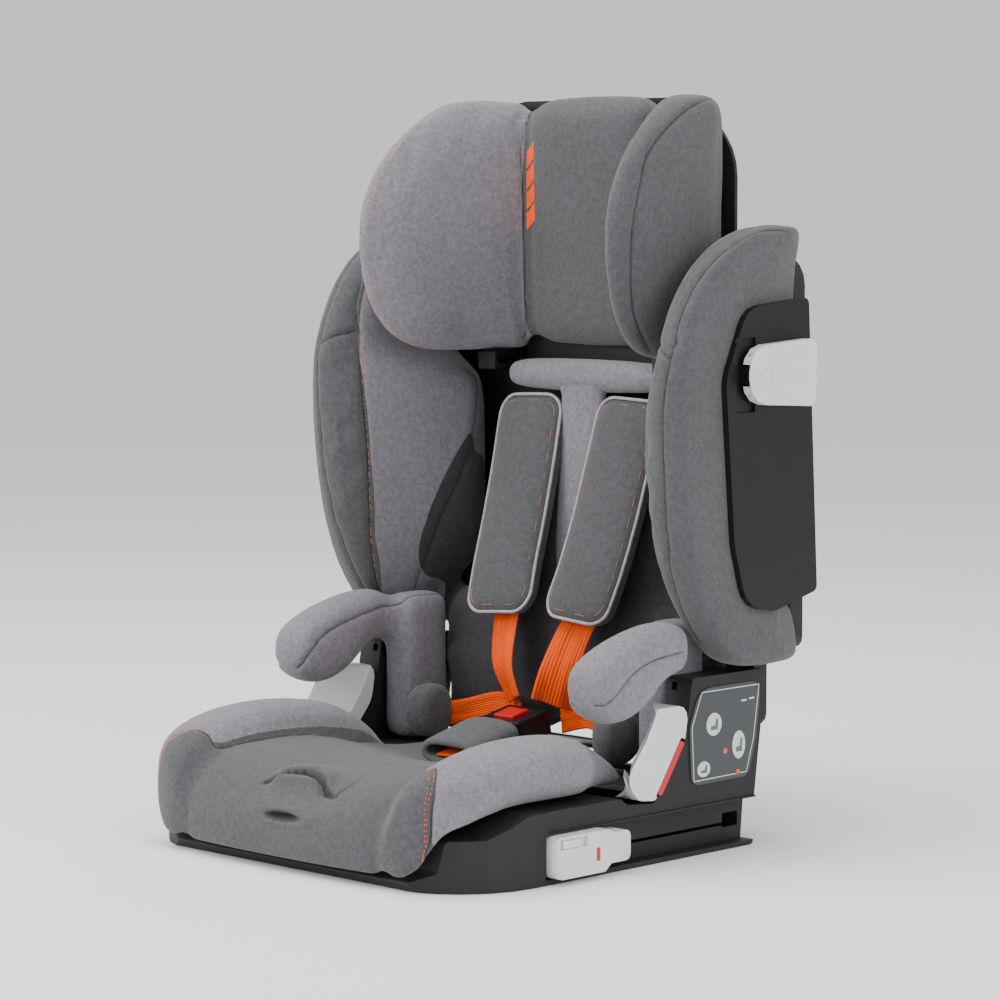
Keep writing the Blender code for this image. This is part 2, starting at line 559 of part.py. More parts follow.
def side_shell(side, sign):
    """Black side cover of the wing, with the lug and the groove for the impact pod."""
    corners = [(0.2160, 0.508, 0.006), (0.1290, 0.500, 0.030), (0.1000, 0.435, 0.040),
               (0.1130, 0.285, 0.060),
               (0.1300, 0.228, 0.030), (0.1700, 0.2210, 0.020), (0.2310, 0.236, 0.006)]
    low, high = sorted((sign * (WING_OUTER + 0.0006), sign * SHELL_OUTER))
    shell = plate(f"side_shell_{side}", corners, "YZ", low, high, BLACK, edge=0.0025)
    groove = sorted((sign * (SHELL_OUTER - 0.003), sign * 0.2700))
    cut(shell, [box("pod_groove", (groove[0], 0.1150, 0.4050), (groove[1], 0.1400, 0.4730))])
    lug = sorted((sign * (SHELL_OUTER - 0.004), sign * POD_PIN_X))
    pin_x, low_z, high_z = sign * POD_PIN_X, 0.4310, 0.4470
    join(shell, [
        box("lug_web", (lug[0], POD_PIN_Y - 0.0030, low_z), (lug[1], POD_PIN_Y + 0.0030, high_z)),
        rod("lug_eye", (pin_x, POD_PIN_Y, low_z - 0.0002), (pin_x, POD_PIN_Y, high_z + 0.0002), 0.0034),
    ])
    bore = rod("lug_bore", (sign * POD_PIN_X, POD_PIN_Y, 0.42), (sign * POD_PIN_X, POD_PIN_Y, 0.46),
               0.0018, sides=12)
    return cut(shell, [bore])


def impact_pod(side, sign):
    """Pale side-impact pod that folds out about the upright pin at its front end."""
    corners = [(0.1195, 0.4130, 0.024), (0.2130, 0.4080, 0.008), (0.2150, 0.4710, 0.010),
               (0.1195, 0.4650, 0.024)]
    low, high = sorted((sign * POD_INNER, sign * POD_OUTER))
    pod = plate(f"impact_pod_{side}", corners, "YZ", low, high, PALE_GREY, edge=0.003)
    notch = sorted((sign * 0.2450, sign * 0.2622))
    cut(pod, [
        box("lug_notch", (notch[0], 0.1100, 0.4290), (notch[1], 0.1360, 0.4490)),
        rod("pin_bore", (sign * POD_PIN_X, POD_PIN_Y, 0.4185), (sign * POD_PIN_X, POD_PIN_Y, 0.4595), 0.0018,
            sides=12),
    ])
    pivot(pod, (sign * POD_PIN_X, POD_PIN_Y, 0.439))
    rod(f"pod_pin_{side}", (sign * POD_PIN_X, POD_PIN_Y, 0.4195), (sign * POD_PIN_X, POD_PIN_Y, 0.4585),
        0.0015,
        STEEL, sides=12)


# ---------------------------------------------------------------- headrest
def headrest_shell():
    """Thin back of the headrest, the carrier that slides in the backrest, and the block for the handle."""
    outline = [(0.165, 0.430, 0.01), (0.165, 0.640, 0.06), (0.120, 0.694, 0.03)]
    back = outline + [(-x, z, radius) for x, z, radius in outline[::-1]]
    shell = plate("headrest_shell", back, "XZ", CARRIER_FRONT, CARRIER_REAR, CHARCOAL)
    carrier = [(0.070, 0.260, 0.008), (0.070, 0.600, 0), (-0.070, 0.600, 0), (-0.070, 0.260, 0.008)]
    join(shell, [
        plate("carrier", carrier, "XZ", CARRIER_FRONT + 0.0001, CARRIER_REAR - 0.0001),
        bevelled_block("handle_block", (-0.100, CARRIER_FRONT + 0.001, 0.612), (0.100, 0.234, 0.688), 0.006),
    ])
    return cut(shell, [
        box("handle_well", (-0.0375, 0.2200, 0.6240), (0.0375, 0.2500, 0.6700)),
    ])


def bevelled_block(name, low, high, width):
    """A box with rounded edges, ready to be joined."""
    block = box(name, low, high)
    return combine(bevel(block, width), [], "UNION")


def headrest_handle():
    box("headrest_handle", (-0.0365, 0.2205, 0.6330), (0.0365, 0.2320, 0.6480), PALE_GREY, edge=0.002)


def headrest_center_pad():
    half = 0.084
    stations = ((0.456, 0.196), (0.470, 0.188), (0.560, 0.187), (0.640, 0.184), (0.680, 0.184),
                (0.698, 0.192))
    rings = []
    for z, front in stations:
        rings.append([(-half, BACK_PLANE, z), (-half, front + 0.004, z), (-half / 2, front, z),
                      (0, front, z),
                      (half / 2, front, z), (half, front + 0.004, z), (half, BACK_PLANE, z),
                      (0, BACK_PLANE, z)])
    loft("headrest_center_pad", rings, DARK_FABRIC)


def headrest_wing(side, sign, look):
    """Head wing: a wedge in plan whose front edge bulges forward at ear height."""
    stations = ((0.4500, 0.115, 0.205, 0.164), (0.4560, 0.082, BACK_PLANE, 0.172),
                (0.4850, 0.048, BACK_PLANE, 0.177),
                (0.5300, 0.034, BACK_PLANE, 0.179), (0.5750, 0.031, BACK_PLANE, 0.179),
                (0.6150, 0.044, BACK_PLANE, 0.178), (0.6500, 0.072, BACK_PLANE, 0.176),
                (0.6800, 0.112, 0.210, 0.172), (0.6970, 0.150, 0.204, 0.164))
    inner_rear = 0.0852
    rings = []
    for z, front, rear, outer in stations:
        depth = rear - front
        nose = outer - 0.020
        outline = ((outer, rear), (outer, front + 0.5 * depth), (outer - 0.003, front + 0.14 * depth),
                   (nose, front), (nose - 0.014, front + 0.09 * depth),
                   (0.62 * nose + 0.38 * inner_rear - 0.004, front + 0.48 * depth),
                   (inner_rear + 0.004, front + 0.88 * depth), (inner_rear, rear))
        rings.append([(sign * x, y, z) for x, y in outline])
    loft(f"headrest_wing_{side}", rings, look)


def yoke_pad():
    """Padded bar under the headrest, over the harness slots."""
    rings = [oval((x, 0.1900, 0.4280), 0.0205 * size, 0.0175 * size, (0, 1, 0), (0, 0, 1), 8)
             for x, size in ((-0.100, 0.55), (-0.092, 0.95), (0.0, 1.0), (0.092, 0.95), (0.100, 0.55))]
    loft("yoke_pad", rings, LIGHT_FABRIC)


def belt_clip(side, sign):
    """Dark clip below the head wing that keeps a vehicle's shoulder belt in place."""
    low, high = sorted((sign * 0.1035, sign * 0.1265))
    clip = box(f"shoulder_belt_clip_{side}", (low, 0.1650, 0.4310), (high, 0.2118, 0.4490), BLACK)
    slot = sorted((sign * 0.098, sign * 0.120))
    cut(clip, [box("clip_slot", (slot[0], 0.1710, 0.4375), (slot[1], 0.2030, 0.4430))])
    bevel(clip, 0.0012, 1)


# ---------------------------------------------------------------- harness
STRAP_ROUTE = (((0.0640, 0.2015, 0.4020), (1, 0, 0)), ((0.0610, 0.1880, 0.3500), (1, 0, 0)),
               ((0.0590, 0.1690, 0.2900), (1, 0.05, 0)), ((0.0550, 0.1490, 0.2400), (1, 0.10, 0)),
               ((0.0470, 0.1290, 0.1950), (1, 0.20, 0)), ((0.0380, 0.1110, 0.1500), (0.95, 0.35, 0)),
               ((0.0235, 0.1120, 0.1180), (0.85, 0.45, 0.1)))
PAD_ROUTE = ((0.4080, 0.0655, 0.1830), (0.3980, 0.0650, 0.1800), (0.3400, 0.0615, 0.1640),
             (0.2900, 0.0590, 0.1490),
             (0.2450, 0.0560, 0.1330), (0.2080, 0.0510, 0.1190), (0.1980, 0.0500, 0.1160))
LAP_ROUTE = (((0.0290, 0.1215, 0.1010), (0, 0.3, 1)), ((0.0600, 0.1290, 0.1080), (0, 0.2, 1)),
             ((0.0950, 0.1210, 0.0990), (0, 0, 1)), ((0.1220, 0.1050, 0.0930), (-0.2, 0, 1)))


def mirrored(route, sign):
    return [((sign * p[0], p[1], p[2]), (w[0], sign * w[1], sign * w[2])) for p, w in route]


def harness(side, sign):
    """Shoulder strap with its pad, lap strap and hip pad on one side."""
    band(f"shoulder_strap_{side}", mirrored(STRAP_ROUTE, sign), ORANGE_WEBBING)
    lap = [((sign * p[0], p[1], p[2]), (sign * w[0], w[1], w[2])) for p, w in LAP_ROUTE]
    band(f"lap_strap_{side}", lap, ORANGE_WEBBING, half=0.012)
    rings = []
    for i, (z, x, y) in enumerate(PAD_ROUTE):
        size = 0.86 if i in (0, len(PAD_ROUTE) - 1) else 1.0
        rings.append(oval((sign * x, y, z), 0.0400 * size, 0.0110 * size, (1, 0, 0), (0, 1, 0), 10, 4.0))
    loft(f"shoulder_pad_{side}", rings, DARK_FABRIC)
    rings = [oval((sign * x, 0.0960, 0.0990), half, 0.0170, (0, 1, 0), (0, 0, 1), 8)
             for x, half in ((0.1270, 0.014), (0.1330, 0.021), (0.1440, 0.022))]
    loft(f"hip_pad_{side}", rings, DARK_FABRIC)


def build():
    base_shell()
    underside_plate()
    seat_cushion()
    crotch_parts()
    buckle_parts()
    adjuster()
    rod("recline_axle", (-0.2035, AXLE_Y, AXLE_Z), (0.2035, AXLE_Y, AXLE_Z), AXLE_RADIUS, STEEL)
    backrest_frame()
    rear_cover()
    back_cushion()
    headrest_shell()
    headrest_handle()
    headrest_center_pad()
    yoke_pad()
    for side, sign in (("left", -1), ("right", 1)):
        belt_guide(side, sign)
        label_plate(side, sign)
        isofix(side, sign)
        thigh_bolster(side, sign)
        armrest_pad(side, sign)
        side_panel_pad(side, sign)
        torso_wing(side, sign)
        side_shell(side, sign)
        impact_pod(side, sign)
        headrest_wing(side, sign, LIGHT_FABRIC if sign < 0 else DARK_FABRIC)
        belt_clip(side, sign)
        harness(side, sign)


build()
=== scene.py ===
"""Looks of the child car seat: padded covers, piping, stitching, webbing, trim and materials.

Metres, +Z up. The seat faces -Y and +X is to the right of someone who looks at its front.
"""

import math

import bmesh
import bpy
import numpy as np
from mathutils import Matrix, Vector
from mathutils.bvhtree import BVHTree


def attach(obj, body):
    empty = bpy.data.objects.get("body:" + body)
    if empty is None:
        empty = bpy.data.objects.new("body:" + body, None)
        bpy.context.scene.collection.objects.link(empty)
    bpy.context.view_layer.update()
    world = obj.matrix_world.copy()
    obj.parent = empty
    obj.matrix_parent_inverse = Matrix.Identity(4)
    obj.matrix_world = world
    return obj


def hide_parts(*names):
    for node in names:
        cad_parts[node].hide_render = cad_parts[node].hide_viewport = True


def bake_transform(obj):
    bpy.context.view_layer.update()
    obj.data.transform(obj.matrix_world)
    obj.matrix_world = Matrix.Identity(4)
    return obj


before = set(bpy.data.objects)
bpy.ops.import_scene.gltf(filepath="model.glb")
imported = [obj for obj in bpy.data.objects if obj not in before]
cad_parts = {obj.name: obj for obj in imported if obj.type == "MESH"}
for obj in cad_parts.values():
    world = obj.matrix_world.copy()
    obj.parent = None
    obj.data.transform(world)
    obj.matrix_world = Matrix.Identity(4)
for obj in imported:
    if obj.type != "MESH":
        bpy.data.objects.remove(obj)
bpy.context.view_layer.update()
SIDES = (("left", -1), ("right", 1))

# Colours, linear RGB
LIGHT = (0.192, 0.180, 0.200)
DARK = (0.073, 0.074, 0.078)
# Painted shade: the near-black of the backrest's middle between the torso wings
BACK_SHADE = (0.040, 0.038, 0.042)
PIPING = (0.36, 0.36, 0.37)
ORANGE = (1.0, 0.098, 0.0)
RUST = (0.55, 0.17, 0.06)
CHARCOAL = (0.016, 0.016, 0.017)
BLACK = (0.007, 0.007, 0.0075)
PALE = (0.66, 0.67, 0.69)
RED = (0.55, 0.008, 0.008)
STEEL = (0.55, 0.56, 0.58)

# ---------------------------------------------------------------- camera, light and floor
CAMERA_PLACE = Vector((2.26206, -2.24787, 0.59110))
CAMERA_AZIMUTH, CAMERA_PITCH = 44.337, 4.8825
FLOOR_HALF = 6.0


def area_light(name, place, target, size, power):
    data = bpy.data.lights.new(name, "AREA")
    data.shape = "RECTANGLE"
    data.size, data.size_y = size
    data.energy = power
    lamp = bpy.data.objects.new(name, data)
    bpy.context.scene.collection.objects.link(lamp)
    lamp.location = place
    lamp.rotation_euler = (Vector(target) - Vector(place)).to_track_quat("-Z", "Y").to_euler()
    return lamp


def studio():
    data = bpy.data.cameras.new("camera")
    data.lens, data.sensor_width = 123.81, 36.0
    camera = bpy.data.objects.new("camera", data)
    bpy.context.scene.collection.objects.link(camera)
    camera.location = CAMERA_PLACE
    camera.rotation_euler = (math.radians(90 - CAMERA_PITCH), 0, math.radians(CAMERA_AZIMUTH))
    bpy.context.scene.camera = camera

    world = bpy.data.worlds.new("studio")
    world.use_nodes = True
    world.node_tree.nodes["Background"].inputs["Color"].default_value = (0.93, 0.94, 0.96, 1)
    world.node_tree.nodes["Background"].inputs["Strength"].default_value = 0.90
    bpy.context.scene.world = world
    middle = (0, 0, 0.3)
    area_light("overhead", (-0.4, -0.4, 2.4), middle, (2.2, 2.2), 56)
    area_light("front_left", (-1.6, -2.4, 1.5), middle, (1.6, 1.6), 46)
    area_light("right_side", (2.6, -0.2, 1.3), middle, (1.2, 1.8), 34)

    bm = bmesh.new()
    bmesh.ops.create_grid(bm, x_segments=2, y_segments=2, size=FLOOR_HALF)
    mesh = bpy.data.meshes.new("floor")
    bm.to_mesh(mesh)
    bm.free()
    floor = bpy.data.objects.new("floor", mesh)
    bpy.context.scene.collection.objects.link(floor)
    floor.location.z = -0.0005
    look = bpy.data.materials.new("floor")
    look.use_nodes = True
    look.node_tree.nodes["Principled BSDF"].inputs["Base Color"].default_value = (0.96, 0.96, 0.96, 1)
    look.node_tree.nodes["Principled BSDF"].inputs["Roughness"].default_value = 0.9
    mesh.materials.append(look)


# ---------------------------------------------------------------- materials
class Shading:
    """A material's node tree, with short calls for the nodes used here."""

    def __init__(self, name, roughness, metallic=0.0):
        self.material = bpy.data.materials.new(name)
        self.material.use_nodes = True
        self.tree = self.material.node_tree
        self.shader = self.tree.nodes["Principled BSDF"]
        self.shader.inputs["Roughness"].default_value = roughness
        self.shader.inputs["Metallic"].default_value = metallic
        self.place = self.tree.nodes.new("ShaderNodeTexCoord").outputs["Object"]

    def node(self, kind, **inputs):
        made = self.tree.nodes.new(kind)
        for name, value in inputs.items():
            self.feed(made.inputs[name.replace("_", " ")], value)
        return made

    def feed(self, socket, value):
        if isinstance(value, bpy.types.NodeSocket):
            self.tree.links.new(value, socket)
        else:
            socket.default_value = value

    def noise(self, scale, detail=2.0, roughness=0.5):
        return self.node("ShaderNodeTexNoise", Vector=self.place, Scale=scale, Detail=detail,
                         Roughness=roughness).outputs["Fac"]

    def math(self, operation, first, second=0.5):
        made = self.tree.nodes.new("ShaderNodeMath")
        made.operation = operation
        self.feed(made.inputs[0], first)
        self.feed(made.inputs[1], second)
        return made.outputs[0]

    def span(self, value, low, high, to_low=0.0, to_high=1.0):
        made = self.node("ShaderNodeMapRange")
        for i, number in enumerate((value, low, high, to_low, to_high)):
            self.feed(made.inputs[i], number)
        return made.outputs[0]

    def mix(self, factor, first, second):
        made = self.tree.nodes.new("ShaderNodeMix")
        made.data_type = "RGBA"
        self.feed(made.inputs[0], factor)
        for socket, colour in ((made.inputs[6], first), (made.inputs[7], second)):
            self.feed(socket, colour if isinstance(colour, bpy.types.NodeSocket) else (*colour, 1))
        return made.outputs[2]

    def shade(self, colour, amount):
        """The colour times a grey amount."""
        made = self.tree.nodes.new("ShaderNodeVectorMath")
        made.operation = "SCALE"
        self.feed(made.inputs[0], colour if isinstance(colour, bpy.types.NodeSocket) else colour[:3])
        self.feed(made.inputs["Scale"], amount)
        return made.outputs[0]

    def attribute(self, name):
        made = self.tree.nodes.new("ShaderNodeAttribute")
        made.attribute_name = name
        return made.outputs["Fac"]

    def bump(self, height, distance, strength=1.0):
        made = self.node("ShaderNodeBump", Height=height, Distance=distance, Strength=strength)
        self.tree.links.new(made.outputs["Normal"], self.shader.inputs["Normal"])

    def colour(self, value):
        self.feed(self.shader.inputs["Base Color"], value)


def fabric(name, base, second=None, painted_shade=None):
    """Heathered knit. second shows where the mesh's "panel" is above 0, and the third colour, a painted
    shade, where its "centre" is above 0.
    """
    look = Shading(name, 0.95)
    look.shader.inputs["Sheen Weight"].default_value = 0.18
    look.shader.inputs["Sheen Roughness"].default_value = 0.6
    look.shader.inputs["Specular IOR Level"].default_value = 0.12
    colour = base
    if second:
        colour = look.mix(look.math("GREATER_THAN", look.attribute("panel"), 0.0), colour, second)
    if painted_shade:
        # Painted shade: the third colour where "centre" is above 0
        colour = look.mix(look.math("GREATER_THAN", look.attribute("centre"), 0.0), colour, painted_shade)
    blotch = look.span(look.noise(210, 3.0, 0.65), 0.30, 0.70, 0.80, 1.22)
    fibre = look.span(look.noise(900, 2.0, 0.6), 0.32, 0.68, 0.82, 1.18)
    cloud = look.span(look.noise(14, 2.0), 0.3, 0.7, 0.96, 1.04)
    heather = look.math("MULTIPLY", look.math("MULTIPLY", blotch, fibre), cloud)
    # Painted shade: the colour drops to 0.3 times within about 1.7 mm of a seam, and where "seam" marks the
    # pocket mouth and strap slot.
    crease_shade = look.span(look.attribute("seam"), 0.0003, 0.0017, 0.30, 1.0)
    look.colour(look.shade(colour, look.math("MULTIPLY", heather, crease_shade)))
    knit = look.node("ShaderNodeTexVoronoi", Vector=look.place, Scale=780.0).outputs["Distance"]
    look.bump(look.math("ADD", look.math("MULTIPLY", knit, 0.6), look.noise(500, 2.0)), 0.0005, 0.55)
    return look.material


def plastic(name, colour, roughness, grain=0.35, gloss=0.5):
    """Moulded plastic with a fine spark-eroded grain and slightly uneven gloss."""
    look = Shading(name, roughness)
    look.shader.inputs["Specular IOR Level"].default_value = gloss
    look.colour(look.shade(colour, look.span(look.noise(30, 3.0), 0.3, 0.7, 0.93, 1.07)))
    uneven = look.span(look.noise(120, 3.0), 0.3, 0.7, roughness - 0.05, roughness + 0.06)
    look.feed(look.shader.inputs["Roughness"], uneven)
    look.bump(look.noise(1900, 2.0), 0.0002, grain)
    return look.material


def steel(name):
    look = Shading(name, 0.35, 1.0)
    streaks = look.node("ShaderNodeTexNoise", Scale=1.0, Detail=3.0)
    stretched = look.node("ShaderNodeMapping", Vector=look.place)
    stretched.inputs["Scale"].default_value = (900, 60, 900)
    look.feed(streaks.inputs["Vector"], stretched.outputs[0])
    look.colour(look.shade(STEEL, look.span(streaks.outputs["Fac"], 0.3, 0.7, 0.85, 1.1)))
    look.bump(streaks.outputs["Fac"], 0.0001, 0.3)
    return look.material


def webbing_look(name, colour):
    """Woven webbing: ribs along it from "across", fine picks across it from "along"."""
    look = Shading(name, 0.62)
    look.shader.inputs["Specular IOR Level"].default_value = 0.15
    ribs = look.math("SINE", look.math("MULTIPLY", look.attribute("across"), 34.0))
    picks = look.math("SINE", look.math("MULTIPLY", look.attribute("along"), 3600.0))
    weave = look.math("ADD", ribs, look.math("MULTIPLY", picks, 0.35))
    tone = look.math("MULTIPLY", look.span(weave, -1.3, 1.3, 0.78, 1.10),
                     look.span(look.noise(60, 3.0), 0.3, 0.7, 0.88, 1.08))
    look.colour(look.shade(colour, tone))
    look.bump(weave, 0.0004, 0.8)
    return look.material


LOOKS = {
    "dark": fabric("dark_knit", DARK),
    "light": fabric("light_knit", LIGHT),
    "seat": fabric("seat_knit", DARK, LIGHT),
    # The backrest's third colour is painted shade on its middle.
    "back": fabric("back_knit", DARK, LIGHT, BACK_SHADE),
    "piping": fabric("piping_knit", PIPING),
    "orange_thread": plastic("orange_thread", ORANGE, 0.7),
    "rust_thread": plastic("rust_thread", RUST, 0.7),
    "grey_thread": plastic("grey_thread", (0.05, 0.05, 0.052), 0.8),
    "stripe": plastic("orange_print", ORANGE, 0.55),
    "webbing": webbing_look("orange_webbing", ORANGE),
    "charcoal": plastic("charcoal_plastic", CHARCOAL, 0.52, 0.35, 0.3),
    "black": plastic("black_plastic", BLACK, 0.42, 0.25, 0.3),
    "pale": plastic("pale_plastic", PALE, 0.34, 0.15),
    "red": plastic("red_plastic", RED, 0.35, 0.1),
    "label": plastic("label_film", (0.040, 0.046, 0.048), 0.38, 0.1),
    "print_white": plastic("white_print", (0.62, 0.63, 0.64), 0.5, 0.1),
    "print_grey": plastic("grey_print", (0.12, 0.13, 0.135), 0.5, 0.1),
    "steel": steel("zinc_steel"),
}
PRINT_THICK = 0.00015


# ---------------------------------------------------------------- mesh tools
def link(name, mesh, look):
    made = bpy.data.objects.new(name, mesh)
    bpy.context.scene.collection.objects.link(made)
    if look:
        mesh.materials.append(LOOKS[look])
    return made


def from_bmesh(name, bm, look):
    bmesh.ops.recalc_face_normals(bm, faces=bm.faces)
    mesh = bpy.data.meshes.new(name)
    bm.to_mesh(mesh)
    bm.free()
    for face in mesh.polygons:
        face.use_smooth = True
    return link(name, mesh, look)


def bake(made):
    """Applies the object's modifiers."""
    graph = bpy.context.evaluated_depsgraph_get()
    mesh = bpy.data.meshes.new_from_object(made.evaluated_get(graph))
    made.modifiers.clear()
    old = made.data
    made.data = mesh
    bpy.data.meshes.remove(old)
    return made


def spots(made):
    co = np.empty(len(made.data.vertices) * 3)
    made.data.vertices.foreach_get("co", co)
    return co.reshape(-1, 3)


def normals(made):
    no = np.empty(len(made.data.vertices) * 3)
    made.data.vertices.foreach_get("normal", no)
    return no.reshape(-1, 3)


def set_spots(made, co):
    made.data.vertices.foreach_set("co", co.ravel())
    made.data.update()


def paint(made, name, values):
    """Stores one number per vertex for the material."""
    layer = made.data.attributes.get(name) or made.data.attributes.new(name, "FLOAT", "POINT")
    layer.data.foreach_set("value", np.asarray(values, np.float32))


def unsewn(made):
    """Marks the whole piece as far from any seam, so its material paints no crease shade on it."""
    paint(made, "seam", np.ones(len(made.data.vertices)))


def stuffed(made, body):
    """Attaches the cover to that body."""
    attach(made, body)


def skin(name, nodes, look, voxel=0.0045, smoothing=5, grow=0.0, closing=0.0, fillers=()):
    """One even, closed skin around copies of CAD solids, which it replaces. closing bridges gaps up to
    twice that, and each filler, a box's two corners, closes an opening that the cover runs over."""
    bm = bmesh.new()
    for node in nodes:
        bm.from_mesh(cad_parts[node].data)
    for low, high in fillers:
        low, high = Vector(low), Vector(high)
        fit = Matrix.Translation((low + high) / 2) @ Matrix.Diagonal((*(high - low), 1))
        bmesh.ops.create_cube(bm, size=1, matrix=fit)
    bmesh.ops.remove_doubles(bm, verts=bm.verts, dist=0.00001)
    made = from_bmesh(name, bm, None)
    for shift in ((closing, -closing) if closing else (0.0,)):
        remesh = made.modifiers.new("even", "REMESH")
        remesh.mode = "VOXEL"
        remesh.voxel_size = voxel
        remesh.use_smooth_shade = True
        if shift:
            push = made.modifiers.new("push", "DISPLACE")
            push.mid_level = 0.0
            push.strength = shift
    soften = made.modifiers.new("soften", "SMOOTH")
    soften.factor = 0.5
    soften.iterations = smoothing
    bake(made)
    made.data.materials.clear()
    made.data.materials.append(LOOKS[look])
    if grow:
        set_spots(made, spots(made) + normals(made) * grow)
    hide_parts(*nodes)
    return made


def puff(made, cap, pressure=4.0, frames=20, hold=None):
    """Fills the cover with foam: cloth under pressure, with each point's way limited to cap."""
    rest = spots(made)
    cloth = made.modifiers.new("fill", "CLOTH")
    cloth.settings.use_pressure = True
    cloth.settings.uniform_pressure_force = pressure
    cloth.settings.effector_weights.gravity = 0
    cloth.point_cache.frame_start = 1
    cloth.point_cache.frame_end = frames
    for step in range(1, frames + 1):
        bpy.context.scene.frame_set(step)
    graph = bpy.context.evaluated_depsgraph_get()
    filled = made.evaluated_get(graph).to_mesh()
    co = np.empty(len(filled.vertices) * 3)
    filled.vertices.foreach_get("co", co)
    move = co.reshape(-1, 3) - rest
    made.modifiers.clear()
    bpy.context.scene.frame_set(1)
    length = np.linalg.norm(move, axis=1, keepdims=True) + 1e-9
    move *= cap * np.tanh(length / cap) / length
    if hold is not None:
        move *= hold(rest)[:, None]
    set_spots(made, rest + move)
    return made


def refine(made, levels=1):
    rounding = made.modifiers.new("refine", "SUBSURF")
    rounding.levels = rounding.render_levels = levels
    return bake(made)


def smooth_line(points, step=0.003):
    """A Catmull-Rom line through the points, at even steps."""
    points = [Vector(p) for p in points]
    closed = (points[0] - points[-1]).length < 1e-6
    dense = []
    for i in range(len(points) - 1):
        before = points[i - 1] if i else (points[-2] if closed else points[0])
        after = points[i + 2] if i + 2 < len(points) else (points[1] if closed else points[-1])
        a, b = points[i], points[i + 1]
        count = max(2, int((b - a).length / step))
        for k in range(count):
            t = k / count
            dense.append(0.5 * (2 * a + (b - before) * t + (2 * before - 5 * a + 4 * b - after) * t * t
                                + (3 * a - before - 3 * b + after) * t ** 3))
    return dense + [points[-1]]


def mirrored(points, sign):
    return [(sign * x, y, z) for x, y, z in points]


SEAM_REACH = 0.012            # how far from a seam its pull is felt


def gaps(co, line):
    """Each point's distance to a line."""
    line = np.array([tuple(p) for p in line])
    nearest = np.full(len(co), 1.0)
    near = np.flatnonzero(((co > line.min(0) - SEAM_REACH) & (co < line.max(0) + SEAM_REACH)).all(1))
    close = co[near]
    found = np.full(len(near), 1.0)
    for a, b in zip(line, line[1:]):
        run = b - a
        t = np.clip((close - a) @ run / max(run @ run, 1e-12), 0, 1)
        found = np.minimum(found, np.sqrt((((close - a) - t[:, None] * run) ** 2).sum(1)))
    nearest[near] = found
    return nearest


def sew(made, lines, depth=0.0022, width=0.0035):
    """Pulls the cover in along each line and stores each point's distance to it, which the material turns
    into painted shade along the crease.
    """
    marked = np.full(len(made.data.vertices), 1.0)
    for laid in lay_all(made, [smooth_line(line, 0.005) for line in lines]):
        marked = np.minimum(marked, gaps(spots(made), laid))
    pull = depth * np.exp(-(marked / width) ** 2)
    set_spots(made, spots(made) - normals(made) * pull[:, None])
    old = made.data.attributes.get("seam")
    if old:
        before = np.empty(len(marked), np.float32)
        old.data.foreach_get("value", before)
        marked = np.minimum(marked, before)
    paint(made, "seam", marked)


def surface(made):
    """The object's surface, ready for nearest points and rays."""
    return BVHTree.FromPolygons([v.co for v in made.data.vertices], [p.vertices for p in made.data.polygons])


def lay_all(made, lines, lift=0.0):
    """The lines' points moved onto the surface, and lift above it."""
    tree = surface(made)
    found = [[tree.find_nearest(point) for point in line] for line in lines]
    return [[spot + normal * lift for spot, normal, _, _ in line] for line in found]


def lay(made, line, lift=0.0):
    return lay_all(made, [line], lift)[0]


def tube_into(bm, line, radius, sides=6, flat=1.0):
    """Adds a closed tube along a line."""
    rings = []
    for i, point in enumerate(line):
        ahead = (line[min(i + 1, len(line) - 1)] - line[max(i - 1, 0)]).normalized()
        side = ahead.orthogonal().normalized() if i == 0 else (side - ahead * side.dot(ahead)).normalized()
        up = ahead.cross(side)
        rings.append([bm.verts.new(point + side * math.cos(a) * radius + up * math.sin(a) * radius * flat)
                      for a in (2 * math.pi * k / sides for k in range(sides))])
    for low, high in zip(rings, rings[1:]):
        for k in range(sides):
            bm.faces.new((low[k], low[k - 1], high[k - 1], high[k]))
    bm.faces.new(rings[0])
    bm.faces.new(rings[-1][::-1])


def stitches(name, made, line, look, pitch=0.0045, length=0.0030, radius=0.00042, lift=0.0002):
    """A row of thread stitches on the surface."""
    laid = lay(made, smooth_line(line, 0.0015), lift)
    bm = bmesh.new()
    run = 0.0
    piece = []
    for before, point in zip(laid, laid[1:]):
        run += (point - before).length
        if run % pitch < length:
            piece.append(point)
        elif piece:
            if len(piece) > 1:
                tube_into(bm, piece, radius, 5)
            piece = []
    return from_bmesh(name, bm, look)


def sheet_print(name, outlines, place, look, body, thick=PRINT_THICK):
    """Thin printed shapes: 2D outlines carried to the surface by place(u, v, height)."""
    bm = bmesh.new()
    for outline in outlines:
        low = [bm.verts.new(place(u, v, 0.0)) for u, v in outline]
        high = [bm.verts.new(place(u, v, thick)) for u, v in outline]
        bm.faces.new(low[::-1])
        bm.faces.new(high)
        for i in range(len(low)):
            bm.faces.new((low[i - 1], low[i], high[i], high[i - 1]))
    piece = from_bmesh(name, bm, look)
    for face in piece.data.polygons:
        face.use_smooth = False
    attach(piece, body)
    return piece


def along(table, value):
    """Linear interpolation in a table of (key, value) pairs."""
    keys, values = zip(*sorted(table))
    return np.interp(value, keys, values)


# ---------------------------------------------------------------- seat cover
# Edge of the light side panel on the right: up the front, over the crest, and back along the seat
BOLSTER_SEAM = ((0.1870, -0.2055, 0.0270), (0.1860, -0.2085, 0.0500), (0.1845, -0.2070, 0.0760),
                (0.1800, -0.1980, 0.0900), (0.1700, -0.1850, 0.0990), (0.1580, -0.1740, 0.1030),
                (0.1460, -0.1720, 0.0980), (0.1370, -0.1730, 0.0900), (0.1325, -0.1660, 0.0870),
                (0.1310, -0.1450, 0.0875), (0.1300, -0.1000, 0.0890), (0.1290, -0.0500, 0.0840),
                (0.1280, -0.0100, 0.0740), (0.1280, 0.0400, 0.0700))


